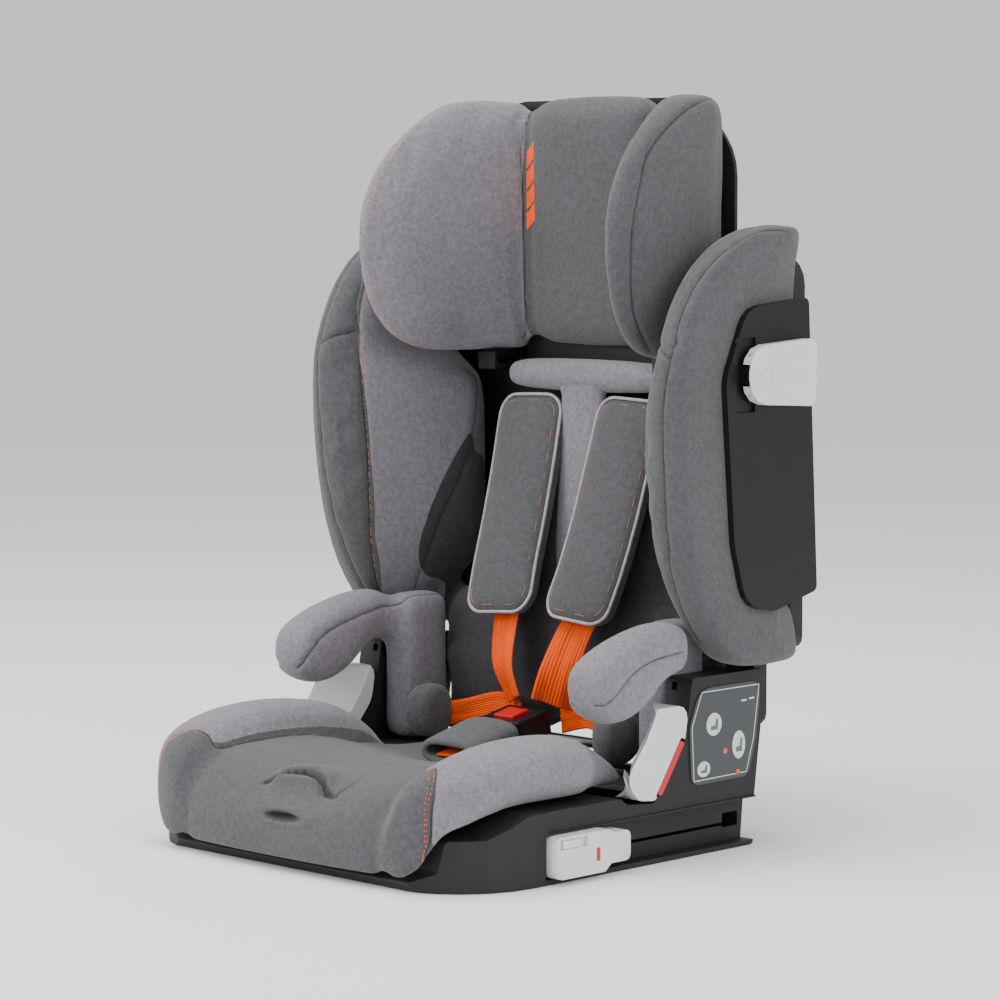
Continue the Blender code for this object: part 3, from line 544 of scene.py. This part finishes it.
def inside(points, outline):
    """Signed distance in plan to a closed outline: above 0 inside."""
    crossings = np.zeros(len(points), int)
    nearest = np.full(len(points), 1.0)
    for (ax, ay), (bx, by) in zip(outline, outline[1:] + outline[:1]):
        run = np.array((bx - ax, by - ay))
        t = np.clip(((points - (ax, ay)) @ run) / max(run @ run, 1e-12), 0, 1)
        nearest = np.minimum(nearest, np.linalg.norm(points - (ax, ay) - t[:, None] * run, axis=1))
        spans = (points[:, 1] >= min(ay, by)) & (points[:, 1] < max(ay, by))
        cross = ax + (points[:, 1] - ay) / (by - ay if by != ay else 1.0) * (bx - ax)
        crossings += spans & (points[:, 0] < cross)
    return np.where(crossings % 2 == 1, nearest, -nearest)


WELL_FILLER = ((-0.0300, -0.1950, 0.0500), (0.0300, -0.1200, 0.0790))
POCKET_LIP = ((-0.0440, -0.1900, 0.0710), (-0.0360, -0.1850, 0.0725), (-0.0250, -0.1820, 0.0730),
              (0.0050, -0.1770, 0.0740), (0.0370, -0.1880, 0.0715), (0.0540, -0.1930, 0.0706))
POCKET_TOP = ((-0.0440, -0.1900, 0.0710), (-0.0450, -0.1650, 0.0780), (-0.0410, -0.1360, 0.0820),
              (-0.0130, -0.1230, 0.0820), (0.0340, -0.1220, 0.0820))
POCKET_SEAM = ((0.0540, -0.1930, 0.0706), (0.0560, -0.1710, 0.0780), (0.0340, -0.1260, 0.0820),
               (0.0290, -0.1060, 0.0825), (0.0140, -0.0720, 0.0810))
POCKET_MIDDLE, POCKET_HALF = 0.005, 0.052
FLAP_RISE, FLAP_REACH = 0.0065, 0.026
MOUTH_DEPTH, MOUTH_BEFORE, MOUTH_WIDE = 0.0110, 0.0030, 0.0042
SLOT_PLACE, SLOT_HALF, SLOT_TALL = (0.0050, 0.0490), 0.0175, 0.0032
SLOT_DEPTH, SLOT_RIM = 0.009, 0.0016


def pocket(cover):
    """The flap over the adjuster, with the gap along its lip, and the oval eye of the adjuster strap."""
    lip, top, seam = lay_all(cover, [smooth_line(line, 0.003) for line in (POCKET_LIP, POCKET_TOP,
                                                                           POCKET_SEAM)])
    co = spots(cover)
    lip_line = np.array([tuple(p) for p in lip])
    edge = np.interp(co[:, 0], lip_line[:, 0], lip_line[:, 1])
    middle = np.clip(1 - np.abs(co[:, 0] - POCKET_MIDDLE) / POCKET_HALF, 0, 1) ** 0.6
    behind = co[:, 1] - edge
    flap = np.where(behind > 0, np.exp(-(behind / FLAP_REACH) ** 2), 0) * FLAP_RISE
    mouth = np.exp(-((behind + MOUTH_BEFORE) / MOUTH_WIDE) ** 2) * MOUTH_DEPTH
    upper = (co[:, 2] > 0.060) & (co[:, 1] < -0.110)
    co[:, 2] += np.where(upper, (flap - mouth) * middle, 0)
    near_slot = np.hypot((co[:, 0] - SLOT_PLACE[0]) / SLOT_HALF, (co[:, 2] - SLOT_PLACE[1]) / SLOT_TALL)
    front = co[:, 1] < -0.190
    sunk = np.where(front, np.clip(1.35 - near_slot, 0, 1) * SLOT_DEPTH, 0)
    rim = np.where(front, np.exp(-((near_slot - 2.0) / 0.55) ** 2) * SLOT_RIM, 0)
    co[:, 1] += sunk - rim
    set_spots(cover, co)
    crease_shade = np.minimum(gaps(co, [tuple(p) for p in seam]), gaps(co, [tuple(p) for p in top]) + 0.0006)
    # Painted shade: a dark band in the gap under the flap's lip and inside the sunk strap slot, stored in
    # "seam" for the material.
    mouth_shade = np.where(upper & (middle > 0.05), np.abs(behind + 0.0016) - 0.0018 * middle, 1.0)
    slot_shade = np.where(front, (near_slot - 1.0) * SLOT_TALL, 1.0)
    paint(cover, "seam", np.clip(np.minimum(np.minimum(crease_shade, mouth_shade), slot_shade), 0, 1))


def seat_cover():
    cover = skin("seat_cover", ("seat_cushion", "thigh_bolster_left", "thigh_bolster_right"), "seat",
                 smoothing=4, grow=0.0005, closing=0.006, fillers=[WELL_FILLER])
    puff(cover, 0.004, hold=lambda co: np.clip((co[:, 2] - 0.060) / 0.02, 0, 1))
    refine(cover)
    pocket(cover)
    outline = [(x, y) for x, y, _ in BOLSTER_SEAM] + [(0.30, 0.06), (0.30, -0.2055)]
    co = spots(cover)
    paint(cover, "panel", inside(np.abs(co[:, :2] * (1, 0)) + co[:, :2] * (0, 1), outline))
    sew(cover, [mirrored(BOLSTER_SEAM, sign) for _, sign in SIDES], 0.0022, 0.0032)
    stuffed(cover, "base")
    for side, sign in SIDES:
        front = [(x - 0.0035, y, z) for x, y, z in BOLSTER_SEAM[:6]]
        inner = [(x - 0.0075, y, z) for x, y, z in BOLSTER_SEAM[:6]]
        for row, line in (("a", front), ("b", inner)):
            row = stitches(f"front_topstitch_{side}_{row}", cover, mirrored(line, sign), "orange_thread")
            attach(row, "base")
    return cover


# ---------------------------------------------------------------- backrest cover
FRONT_LIP = ((0.2435, 0.1900, 0.5700), (0.2398, 0.1557, 0.5660), (0.2347, 0.1131, 0.5473),
             (0.2309, 0.0808, 0.5181),
             (0.2298, 0.0646, 0.4881), (0.2293, 0.0546, 0.4535), (0.2264, 0.0500, 0.4241),
             (0.2247, 0.0508, 0.3855), (0.2226, 0.0589, 0.3284), (0.2179, 0.0728, 0.2711),
             (0.2157, 0.0892, 0.2278), (0.2150, 0.1080, 0.1950))
INNER_EDGE = ((0.1985, 0.1300, 0.5600), (0.1985, 0.0900, 0.5300), (0.1975, 0.0740, 0.4950),
              (0.1955, 0.0693, 0.4554),
              (0.1928, 0.0692, 0.4094), (0.1908, 0.0738, 0.3443), (0.1972, 0.0836, 0.2661),
              (0.2040, 0.1021, 0.2134), (0.2060, 0.1200, 0.1850))
CROSS_SEAM = ((0.1986, 0.0669, 0.4690), (0.2147, 0.0535, 0.4640), (0.2293, 0.0546, 0.4535))
# Edge of the painted shade on the backrest's middle; a seam is also pressed in along it.
CENTRE_SHADE_EDGE = ((0.1300, 0.2050, 0.4400), (0.1400, 0.1880, 0.3900), (0.1551, 0.1646, 0.3234),
               (0.1654, 0.1453, 0.2770),
               (0.1800, 0.1375, 0.2240), (0.1860, 0.1400, 0.1500))


SKIRT_FILLER = ((-0.1540, 0.1500, 0.0900), (0.1540, 0.1900, 0.1500))


def wrap(cover, start, end, rear, inner, outer):
    """Stretches the cover's rear edge back over the plastic, from the width inner outwards."""
    co = spots(cover)
    share = np.clip((np.abs(co[:, 0]) - inner) / (outer - inner), 0, 1)
    back = np.clip((co[:, 1] - start) / (end - start), 0, 1.2)
    co[:, 1] += share * back * (rear - end)
    set_spots(cover, co)


def back_cover():
    cover = skin("back_cover", ("back_cushion", "torso_wing_left", "torso_wing_right"), "back", smoothing=4,
                 grow=0.0008, closing=0.006, fillers=[SKIRT_FILLER])
    puff(cover, 0.004, hold=lambda co: np.clip((0.205 - co[:, 1]) / 0.02, 0, 1)
         * np.clip((0.243 - np.abs(co[:, 0])) / 0.008, 0, 1))
    refine(cover)
    wrap(cover, 0.190, 0.217, 0.2385, 0.2300, 0.2350)
    co = spots(cover)
    edge = along([(z, y) for _, y, z in INNER_EDGE], co[:, 2])
    paint(cover, "panel", np.minimum(co[:, 1] - edge, 0.2150 - np.abs(co[:, 0])))
    # Painted shade: "centre" is above 0 inward of this edge, where the material shows the near-black shade
    # colour.
    shade_border = along([(z, x) for x, _, z in CENTRE_SHADE_EDGE], co[:, 2])
    paint(cover, "centre", shade_border - np.abs(co[:, 0]))
    lines = []
    for _, sign in SIDES:
        lines += [mirrored(line, sign) for line in (FRONT_LIP, INNER_EDGE, CROSS_SEAM)]
    sew(cover, lines, 0.0018, 0.0028)
    sew(cover, [mirrored(CENTRE_SHADE_EDGE, sign) for _, sign in SIDES], 0.0015, 0.004)
    stuffed(cover, "backrest")
    for side, sign in SIDES:
        inner = [(x - 0.001, y + 0.0035, z) for x, y, z in INNER_EDGE]
        row = stitches(f"wing_topstitch_{side}", cover, mirrored(inner, sign), "rust_thread", 0.0040,
                       0.0028, 0.0004)
        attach(row, "backrest")
    return cover


# ---------------------------------------------------------------- headrest
HEAD_EDGE = 0.0850
HEAD_SEAM = ((0.1605, 0.1900, 0.6950), (0.1605, 0.1785, 0.6918), (0.1680, 0.1309, 0.6742),
             (0.1690, 0.0888, 0.6419),
             (0.1713, 0.0729, 0.6147), (0.1716, 0.0594, 0.5607), (0.1681, 0.0662, 0.4974),
             (0.1605, 0.0993, 0.4582))
STRIPE_LOW, STRIPE_PITCH, STRIPE_TALL, STRIPE_WIDE, STRIPE_RISE = 0.5680, 0.0200, 0.0165, 0.0150, 0.0100


def head_cover():
    cover = skin("head_cover", ("headrest_center_pad", "headrest_wing_left", "headrest_wing_right"), "seat",
                 smoothing=4, grow=0.0015, closing=0.008)
    puff(cover, 0.005, hold=lambda co: np.clip((0.205 - co[:, 1]) / 0.02, 0, 1))
    refine(cover)
    co = spots(cover)
    paint(cover, "panel", -HEAD_EDGE - co[:, 0])
    split = [(HEAD_EDGE, y, z) for y, z in
             ((0.205, 0.692), (0.184, 0.660), (0.186, 0.600), (0.188, 0.520), (0.192, 0.460))]
    lines = [mirrored(split, sign) for _, sign in SIDES] + [mirrored(HEAD_SEAM, sign) for _, sign in SIDES]
    sew(cover, lines, 0.0018, 0.0030)
    stuffed(cover, "headrest")
    edge = smooth_line([(-0.150, y, z) for y, z in
                        ((0.150, 0.690), (0.090, 0.655), (0.052, 0.610), (0.036, 0.560), (0.040, 0.510),
                         (0.062, 0.475), (0.090, 0.460), (0.130, 0.452))])
    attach(stitches("head_topstitch", cover, edge, "rust_thread", 0.0040, 0.0028, 0.0004), "headrest")
    stripes = []
    for k in range(4):
        low = STRIPE_LOW + k * STRIPE_PITCH
        stripes.append([(-HEAD_EDGE + 0.0040, low), (-HEAD_EDGE + 0.0040 + STRIPE_WIDE, low + STRIPE_RISE),
                        (-HEAD_EDGE + 0.0040 + STRIPE_WIDE, low + STRIPE_RISE + STRIPE_TALL),
                        (-HEAD_EDGE + 0.0040, low + STRIPE_TALL)])
    tree = surface(cover)

    def place(x, z, height):
        spot, _, _, _ = tree.ray_cast(Vector((x, 0.0, z)), Vector((0, 1, 0)))
        return spot + Vector((0, -0.0003 - height, 0))
    sheet_print("head_stripes", [fine_outline(s, 0.002) for s in stripes], place, "stripe", "headrest")
    return cover


def fine_outline(corners, step):
    """The outline with points at most a step apart."""
    points = []
    for i, corner in enumerate(corners):
        a, b = Vector(corner), Vector(corners[(i + 1) % len(corners)])
        count = max(1, math.ceil((b - a).length / step))
        points += [tuple(a.lerp(b, k / count)) for k in range(count)]
    return points


# ---------------------------------------------------------------- armrests
ARM_INNER = ((0.1800, -0.0380, 0.1400), (0.1710, -0.0293, 0.1518), (0.1685, 0.0000, 0.1794),
             (0.1683, 0.0545, 0.1953),
             (0.1600, 0.0964, 0.2037), (0.1560, 0.1400, 0.2060))
ARM_OUTER = ((0.2090, -0.0255, 0.1500), (0.2165, -0.0210, 0.1500), (0.2205, -0.0100, 0.1580),
             (0.2221, 0.0094, 0.1749), (0.2222, 0.0400, 0.1855), (0.2217, 0.0785, 0.1891))


def armrest(side, sign):
    cover = skin(f"armrest_cover_{side}", (f"armrest_pad_{side}", f"side_panel_pad_{side}"), "light",
                 voxel=0.0040, smoothing=6, grow=0.0006, closing=0.006)
    puff(cover, 0.004, hold=lambda co: np.clip((0.078 - co[:, 1]) / 0.02, 0, 1))
    refine(cover)
    sew(cover, [mirrored(line, sign) for line in (ARM_INNER, ARM_OUTER)], 0.0016, 0.0026)
    stuffed(cover, "base")


# ---------------------------------------------------------------- harness
PAD_LINE = ((0.4080, 0.0655, 0.1830), (0.3980, 0.0650, 0.1800), (0.3400, 0.0615, 0.1640),
            (0.2900, 0.0590, 0.1490),
            (0.2450, 0.0560, 0.1330), (0.2080, 0.0510, 0.1190), (0.1980, 0.0500, 0.1160))
PAD_HALF, PAD_CORNER, PAD_THICK = 0.0410, 0.0200, 0.0105


def rounded_rectangle(half_u, half_v, corner, steps=8):
    """Points of a rectangle with round corners, counter-clockwise, at about even steps."""
    points = []
    for cu, cv, start in ((1, 1, 0), (-1, 1, 90), (-1, -1, 180), (1, -1, 270)):
        for k in range(steps + 1):
            angle = math.radians(start + 90 * k / steps)
            points.append((cu * (half_u - corner) + corner * math.cos(angle),
                           cv * (half_v - corner) + corner * math.sin(angle)))
    return fine_outline(points, 0.004)


def pillow(name, outline, place, thick, look, rings=14, edge=0.25, crown=0.0):
    """A stuffed pad: outline rings from the middle to the rim, raised on both faces."""
    bm = bmesh.new()
    middle = Vector((sum(u for u, _ in outline), sum(v for _, v in outline))) / len(outline)
    faces = {}
    for face in (1, -1):
        rows = []
        for k in range(1, rings + 1):
            s = k / rings
            height = thick * (edge + (1 - edge) * math.sqrt(max(0.0, 1 - s ** 5))) + crown * (1 - s * s)
            rows.append([bm.verts.new(place(*(middle.lerp(Vector(p), 1 - (1 - s) * 0.97)), face * height))
                         for p in outline] if s == 1 else
                        [bm.verts.new(place(*(middle + (Vector(p) - middle) * s), face * height))
                         for p in outline])
        centre = bm.verts.new(place(*middle, face * (thick + crown)))
        for i in range(len(outline)):
            bm.faces.new((centre, rows[0][i - 1], rows[0][i]))
            for low, high in zip(rows, rows[1:]):
                bm.faces.new((low[i - 1], high[i - 1], high[i], low[i]))
        faces[face] = rows[-1]
    for i in range(len(outline)):
        bm.faces.new((faces[1][i - 1], faces[-1][i - 1], faces[-1][i], faces[1][i]))
    made = from_bmesh(name, bm, look)
    unsewn(made)
    return made


def shoulder_pad(side, sign):
    line = smooth_line([(sign * x, y, z) for z, x, y in PAD_LINE], 0.002)
    lengths = np.cumsum([0.0] + [(b - a).length for a, b in zip(line, line[1:])])
    co = np.array([tuple(p) for p in line])

    def place(u, v, height):
        s = lengths[-1] / 2 + v
        spot = Vector([np.interp(s, lengths, co[:, i]) for i in range(3)])
        ahead = Vector([np.interp(s + 0.004, lengths, co[:, i]) - np.interp(s - 0.004, lengths, co[:, i])
                        for i in range(3)]).normalized()
        across = Vector((1, 0, 0)) - ahead * ahead.x
        across.normalize()
        up = across.cross(ahead)
        if up.y > 0:
            up = -up
        bow = 0.0035 * (u / PAD_HALF) ** 2
        return spot + across * u + up * (height - bow)
    outline = rounded_rectangle(PAD_HALF, lengths[-1] / 2 - 0.001, PAD_CORNER)
    pad = pillow(f"shoulder_cover_{side}", outline, place, PAD_THICK, "dark", edge=0.30)
    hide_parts(f"shoulder_pad_{side}")
    rim = [place(u * 0.985, v * 0.996, PAD_THICK * 0.50) for u, v in outline + outline[:1]]
    bm = bmesh.new()
    tube_into(bm, rim, 0.0016, 8)
    cord = from_bmesh(f"shoulder_piping_{side}", bm, "piping")
    unsewn(cord)
    inner = [place(u * (PAD_HALF - 0.0050) / PAD_HALF, v * (1 - 0.0050 / (lengths[-1] / 2)),
                   PAD_THICK * 0.98)
             for u, v in outline + outline[:1]]
    rows = stitches(f"shoulder_stitch_{side}", pad, inner, "rust_thread", 0.0035, 0.0024, 0.00035)
    for piece in (pad, cord, rows):
        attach(piece, "headrest")


SHOULDER_ROUTE = (((0.0620, 0.1930, 0.3780), (1, 0, 0)), ((0.0600, 0.1790, 0.3300), (1, 0, 0)),
                  ((0.0575, 0.1600, 0.2650), (1, 0.05, 0)), ((0.0520, 0.1360, 0.2150), (1, 0.12, 0)),
                  ((0.0450, 0.1200, 0.1850), (1, 0.22, 0)), ((0.0370, 0.1090, 0.1500), (0.95, 0.35, 0)),
                  ((0.0235, 0.1110, 0.1180), (0.85, 0.45, 0.1)))
LAP_ROUTE = (((0.0290, 0.1215, 0.1010), (0, 0.3, 1)), ((0.0600, 0.1290, 0.1080), (0, 0.2, 1)),
             ((0.0950, 0.1210, 0.0990), (0, 0, 1)), ((0.1220, 0.1050, 0.0930), (-0.2, 0, 1)))
CROTCH_ROUTE = (((0, 0.0000, 0.0775), (1, 0, 0)), ((0, 0.0200, 0.0835), (1, 0, 0)),
                ((0, 0.0420, 0.0895), (1, 0, 0)), ((0, 0.0630, 0.0930), (1, 0, 0)))
WEBBING_HALF, WEBBING_THICK = 0.0190, 0.0022


def webbing(name, route, half=WEBBING_HALF, columns=18, ripple=0.0009):
    """Woven strap along (centre, width direction) stations, with soft lengthwise folds."""
    centres = smooth_line([c for c, _ in route], 0.003)
    stations = np.cumsum([0.0] + [(Vector(b[0]) - Vector(a[0])).length for a, b in zip(route, route[1:])])
    lengths = np.cumsum([0.0] + [(b - a).length for a, b in zip(centres, centres[1:])])
    scale = stations[-1] / lengths[-1]
    bm = bmesh.new()
    across_of, along_of = [], []
    rows = []
    for i, centre in enumerate(centres):
        wide = Vector([np.interp(lengths[i] * scale, stations, [w[k] for _, w in route]) for k in range(3)])
        ahead = (centres[min(i + 1, len(centres) - 1)] - centres[max(i - 1, 0)]).normalized()
        wide = (wide - ahead * wide.dot(ahead)).normalized()
        up = ahead.cross(wide)
        ring = []
        for face in (1, -1):
            for k in range(columns + 1):
                t = face * (2 * k / columns - 1)
                edge = math.sqrt(max(0.0, 1 - t ** 8))
                wave = math.sin(5.2 * t + 22 * lengths[i])
                fold = ripple * (wave + 0.5 * math.sin(9 * t - 35 * lengths[i]))
                ring.append(bm.verts.new(centre + wide * t * half
                                         + up * (face * WEBBING_THICK / 2 * (0.35 + 0.65 * edge) + fold)))
                across_of.append(t)
                along_of.append(lengths[i])
        rows.append(ring)
    count = len(rows[0])
    for low, high in zip(rows, rows[1:]):
        for k in range(count):
            bm.faces.new((low[k - 1], low[k], high[k], high[k - 1]))
    bm.faces.new(rows[0][::-1])
    bm.faces.new(rows[-1])
    made = from_bmesh(name, bm, "webbing")
    paint(made, "across", across_of)
    paint(made, "along", along_of)
    return made


HIP_GROWTH = (2.3, 1.35, 1.75)   # how much larger the soft hip pad is than its CAD solid


def harness():
    for side, sign in SIDES:
        shoulder_pad(side, sign)
        route = [((sign * c[0], c[1], c[2]), (w[0], sign * w[1], sign * w[2])) for c, w in SHOULDER_ROUTE]
        strap = webbing(f"shoulder_webbing_{side}", route)
        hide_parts(f"shoulder_strap_{side}")
        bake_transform(strap)
        route = [((sign * c[0], c[1], c[2]), (sign * w[0], w[1], w[2])) for c, w in LAP_ROUTE]
        strap = webbing(f"lap_webbing_{side}", route, half=0.012, ripple=0.0004)
        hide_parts(f"lap_strap_{side}")
        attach(strap, "base")
        hip = skin(f"hip_cover_{side}", (f"hip_pad_{side}",), "dark", voxel=0.0025, smoothing=3)
        middle = np.array((sign * 0.1440, 0.1000, 0.0990))
        set_spots(hip, middle + (spots(hip) - middle) * HIP_GROWTH)
        puff(hip, 0.003)
        refine(hip)
        unsewn(hip)
        stuffed(hip, "base")
    strap = webbing("crotch_webbing", CROTCH_ROUTE, ripple=0.0003)
    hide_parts("crotch_strap")
    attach(strap, "base")


def crotch_cover():
    cover = skin("crotch_cover", ("crotch_pad",), "dark", voxel=0.0022, smoothing=3)
    unsewn(cover)
    stuffed(cover, "base")


YOKE_TURNS, YOKE_DEEP = 24, 0.0085
FLARE_FROM, FLARE_OVER, FLARE = 0.405, 0.030, 0.9
YOKE_STEM = ((0.4350, 0.0270, 0.1800), (0.4100, 0.0275, 0.1830), (0.3600, 0.0285, 0.1815),
             (0.3000, 0.0270, 0.1760),
             (0.2450, 0.0230, 0.1700))


def yoke():
    """T-shaped bridge: a soft bar across the slots, and its tongue that hangs between the shoulder pads."""
    bar = skin("yoke_cover", ("yoke_pad",), "light", voxel=0.0030, smoothing=3)
    puff(bar, 0.003)
    refine(bar)
    unsewn(bar)
    bm = bmesh.new()
    rings = []
    stations = smooth_line([(half, y, z) for z, half, y in YOKE_STEM], 0.004)
    for spot in stations:
        turn = [2 * math.pi * k / YOKE_TURNS for k in range(YOKE_TURNS)]
        flare = 1 + FLARE * max(0.0, (spot.z - FLARE_FROM) / FLARE_OVER) ** 2
        rings.append([bm.verts.new((spot.x * flare * math.copysign(abs(math.cos(a)) ** 0.7, math.cos(a)),
                                    spot.y + YOKE_DEEP * math.sin(a), spot.z)) for a in turn])
    for low, high in zip(rings, rings[1:]):
        for k in range(YOKE_TURNS):
            bm.faces.new((low[k - 1], low[k], high[k], high[k - 1]))
    bm.faces.new(rings[0])
    bm.faces.new(rings[-1][::-1])
    stem = from_bmesh("yoke_tongue", bm, "light")
    unsewn(stem)
    for piece in (bar, stem):
        stuffed(piece, "headrest")


# ---------------------------------------------------------------- printed marks
LABEL_FACE, POD_FACE = 0.2197, 0.2640
OVALS = ((0.1230, 0.1180, 0.0105, 0.0105), (0.1090, 0.0780, 0.0088, 0.0072),
         (0.1580, 0.0955, 0.0090, 0.0130))
DOTS = ((0.1390, 0.0915), (0.1570, 0.0700))
SMALL_MARKS = ((0.1760, 0.1370), (0.1650, 0.1360))
LABEL_LINE = ((0.1060, 0.1490), (0.0925, 0.1180), (0.0955, 0.0680), (0.1690, 0.0690), (0.1790, 0.1000),
              (0.1865, 0.1490))


def oval(y, z, half_y, half_z, steps=28):
    return [(y + half_y * math.cos(2 * math.pi * k / steps), z + half_z * math.sin(2 * math.pi * k / steps))
            for k in range(steps)]


def marks(side, sign):
    """Plain pictograms of the side label and the ring of dots on the pod, none of them lettering."""
    def on_label(y, z, height):
        return Vector((sign * (LABEL_FACE + height), y, z))

    def on_label_oval(y, z, height):
        return Vector((sign * (LABEL_FACE + PRINT_THICK + height), y, z))

    def on_pod(y, z, height):
        return Vector((sign * (POD_FACE - PRINT_THICK + height), y, z))
    sheet_print(f"label_ovals_{side}", [oval(*spot) for spot in OVALS], on_label, "print_white", "base")
    figures = []
    for y, z, half_y, half_z in OVALS:
        figures.append([(y - 0.45 * half_y, z - 0.5 * half_z), (y + 0.5 * half_y, z - 0.5 * half_z),
                        (y + 0.55 * half_y, z + 0.45 * half_z), (y + 0.25 * half_y, z + 0.5 * half_z),
                        (y + 0.10 * half_y, z - 0.1 * half_z), (y - 0.45 * half_y, z - 0.15 * half_z)])
    sheet_print(f"label_figures_{side}", figures, on_label_oval, "print_grey", "base")
    dots = [oval(y, z, 0.0026, 0.0026, 16) for y, z in DOTS]
    sheet_print(f"label_dots_{side}", dots, on_label, "stripe", "base")
    lines = [[(y - 0.0035, z - 0.0008), (y + 0.0035, z - 0.0008), (y + 0.0035, z + 0.0008),
              (y - 0.0035, z + 0.0008)]
             for y, z in SMALL_MARKS]
    ring = LABEL_LINE + LABEL_LINE[:1]
    for a, b in zip(ring, ring[1:]):
        run = Vector(b) - Vector(a)
        off = Vector((-run.y, run.x)).normalized() * 0.0004
        lines.append([tuple(Vector(a) - off), tuple(Vector(b) - off), tuple(Vector(b) + off),
                      tuple(Vector(a) + off)])
    sheet_print(f"label_lines_{side}", lines, on_label, "print_white", "base")
    ring = [oval(0.1420 + 0.0085 * math.cos(turn), 0.4360 + 0.0085 * math.sin(turn), 0.0006, 0.0006, 8)
            for turn in (2 * math.pi * k / 16 for k in range(16))]
    sheet_print(f"pod_dots_{side}", ring, on_pod, "grey_thread", f"pod_{side}")


# ---------------------------------------------------------------- plastics
PLASTIC_NODES = {
    "charcoal": ("base_shell", "rear_cover", "headrest_shell"),
    "black": ("underside_plate", "backrest_frame", "harness_buckle", "adjuster_body", "harness_tongue_left",
              "harness_tongue_right", "side_shell_left", "side_shell_right", "shoulder_belt_clip_left",
              "shoulder_belt_clip_right"),
    "pale": ("belt_guide_left", "belt_guide_right", "isofix_connector_left", "isofix_connector_right",
             "isofix_button_left", "isofix_button_right", "impact_pod_left", "impact_pod_right",
             "headrest_handle", "adjuster_button"),
    "red": ("guide_marker_left", "guide_marker_right", "isofix_indicator_left", "isofix_indicator_right",
            "buckle_button"),
    "label": ("label_plate_left", "label_plate_right"),
    "steel": ("recline_axle", "pod_pin_left", "pod_pin_right", "isofix_hook_left", "isofix_hook_right"),
}


def paint_nodes():
    for look, nodes in PLASTIC_NODES.items():
        for node in nodes:
            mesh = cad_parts[node].data
            mesh.materials.clear()
            mesh.materials.append(LOOKS[look])


studio()
paint_nodes()
seat_cover()
back_cover()
head_cover()
for one_side, one_sign in SIDES:
    armrest(one_side, one_sign)
    marks(one_side, one_sign)
crotch_cover()
yoke()
harness()
